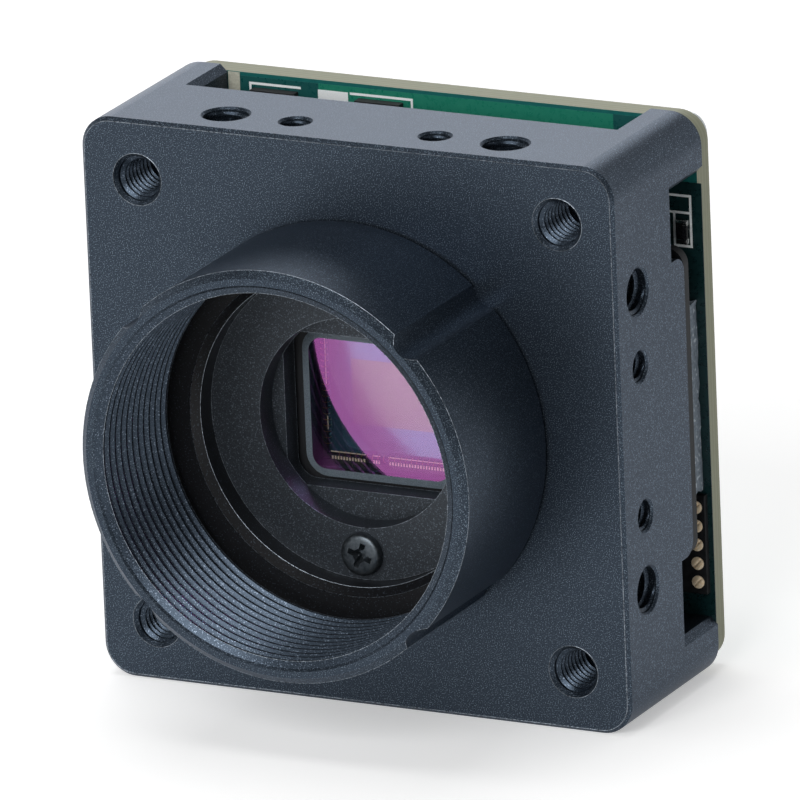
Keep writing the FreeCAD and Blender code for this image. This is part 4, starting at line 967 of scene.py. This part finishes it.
# Matt white paper, lifted to pure white where it is seen.
FLOOR_LIFT, FLOOR_SIZE, FLOOR_GAP = 0.38, 6, 0.02 * MM
floor_white, tree = new_material("matt_white_floor")
paper = add(tree, "ShaderNodeBsdfDiffuse", {"Color": linear("#ededed")})
lift = add(tree, "ShaderNodeMath", {0: seen_directly(tree), 1: FLOOR_LIFT},
           operation="MULTIPLY")
glow = add(tree, "ShaderNodeEmission", {"Color": WHITE, "Strength": lift.outputs[0]})
finish_material(tree, add(tree, "ShaderNodeAddShader", {0: paper.outputs[0],
                                                        1: glow.outputs[0]}))
bm = bmesh.new()
bmesh.ops.create_grid(bm, x_segments=1, y_segments=1, size=FLOOR_SIZE)
for vert in bm.verts:
    vert.co.z = cad_box[0].z - FLOOR_GAP
mesh = mesh_of("floor", bm)
mesh.materials.append(floor_white)
floor = in_scene("floor", mesh)

# White walls up to a dark ceiling: the light falls with the height of the direction,
# between the sines of two angles above the floor.
WALL_TOP, CEILING = 0.4, 0.75
WALL_LIGHT, CEILING_LIGHT = 0.9, 0.06
# A black flag to the right and a little forward takes light away, from its rim inward.
FLAG_SIDE, FLAG_RIM, FLAG_CORE, FLAG_SHADE = (0.92, -0.4, 0), 0.2, 0.8, 0.4
world = bpy.data.worlds.new("studio")
bpy.context.scene.world = world
world.use_nodes = True
tree = world.node_tree
tree.nodes.clear()
direction = add(tree, "ShaderNodeTexCoord")
height = add(tree, "ShaderNodeSeparateXYZ", {"Vector": direction.outputs["Generated"]})
level = add(tree, "ShaderNodeMapRange",
            {"Value": height.outputs["Z"], "From Min": WALL_TOP, "From Max": CEILING,
             "To Min": WALL_LIGHT, "To Max": CEILING_LIGHT})
flag = add(tree, "ShaderNodeVectorMath", {0: direction.outputs["Generated"], 1: FLAG_SIDE},
           operation="DOT_PRODUCT")
shade = add(tree, "ShaderNodeMapRange",
            {"Value": flag.outputs["Value"], "From Min": FLAG_RIM, "From Max": FLAG_CORE,
             "To Min": 1.0, "To Max": FLAG_SHADE})
both = add(tree, "ShaderNodeMath", {0: level.outputs[0], 1: shade.outputs[0]},
           operation="MULTIPLY")
sky = add(tree, "ShaderNodeBackground", {"Color": WHITE, "Strength": both.outputs[0]})
add(tree, "ShaderNodeOutputWorld", {"Surface": sky.outputs[0]})

centre = (cad_box[0] + cad_box[1]) / 2


def softbox(name, direction, distance, size, watts):
    """A square soft light of that size, aimed at the object from that direction."""
    lamp = bpy.data.lights.new(name, "AREA")
    lamp.shape, lamp.size, lamp.energy = "SQUARE", size, watts
    made = in_scene(name, lamp)
    made.matrix_world = facing(centre + Vector(direction).normalized() * distance, direction)


softbox("key", direction=(0.0, -0.86, 0.5), distance=0.7, size=0.4, watts=2.4)
softbox("top", direction=(-0.12, 0.0, 1.0), distance=0.8, size=0.5, watts=2.4)
softbox("back", direction=(-0.43, 0.85, 0.36), distance=0.9, size=0.6, watts=1.7)

# A very long lens, to the right of the front and above: where the camera stands and
# which way its right, its top and its back point.
FOCAL_LENGTH, SENSOR_WIDTH = 732.6, 36.0
CAMERA_PLACE = (0.45467, -0.88907, 0.33782)
CAMERA_AXES = ((0.89588, 0.44261, -0.03864), (-0.10156, 0.28866, 0.95203),
               (0.43253, -0.84898, 0.30356))
lens = bpy.data.cameras.new("camera")
lens.lens, lens.sensor_width = FOCAL_LENGTH, SENSOR_WIDTH
camera = in_scene("camera", lens)
camera.matrix_world = (Matrix.Translation(CAMERA_PLACE)
                       @ Matrix(CAMERA_AXES).transposed().to_4x4())
bpy.context.scene.camera = camera
bpy.context.scene.view_settings.view_transform = "Standard"
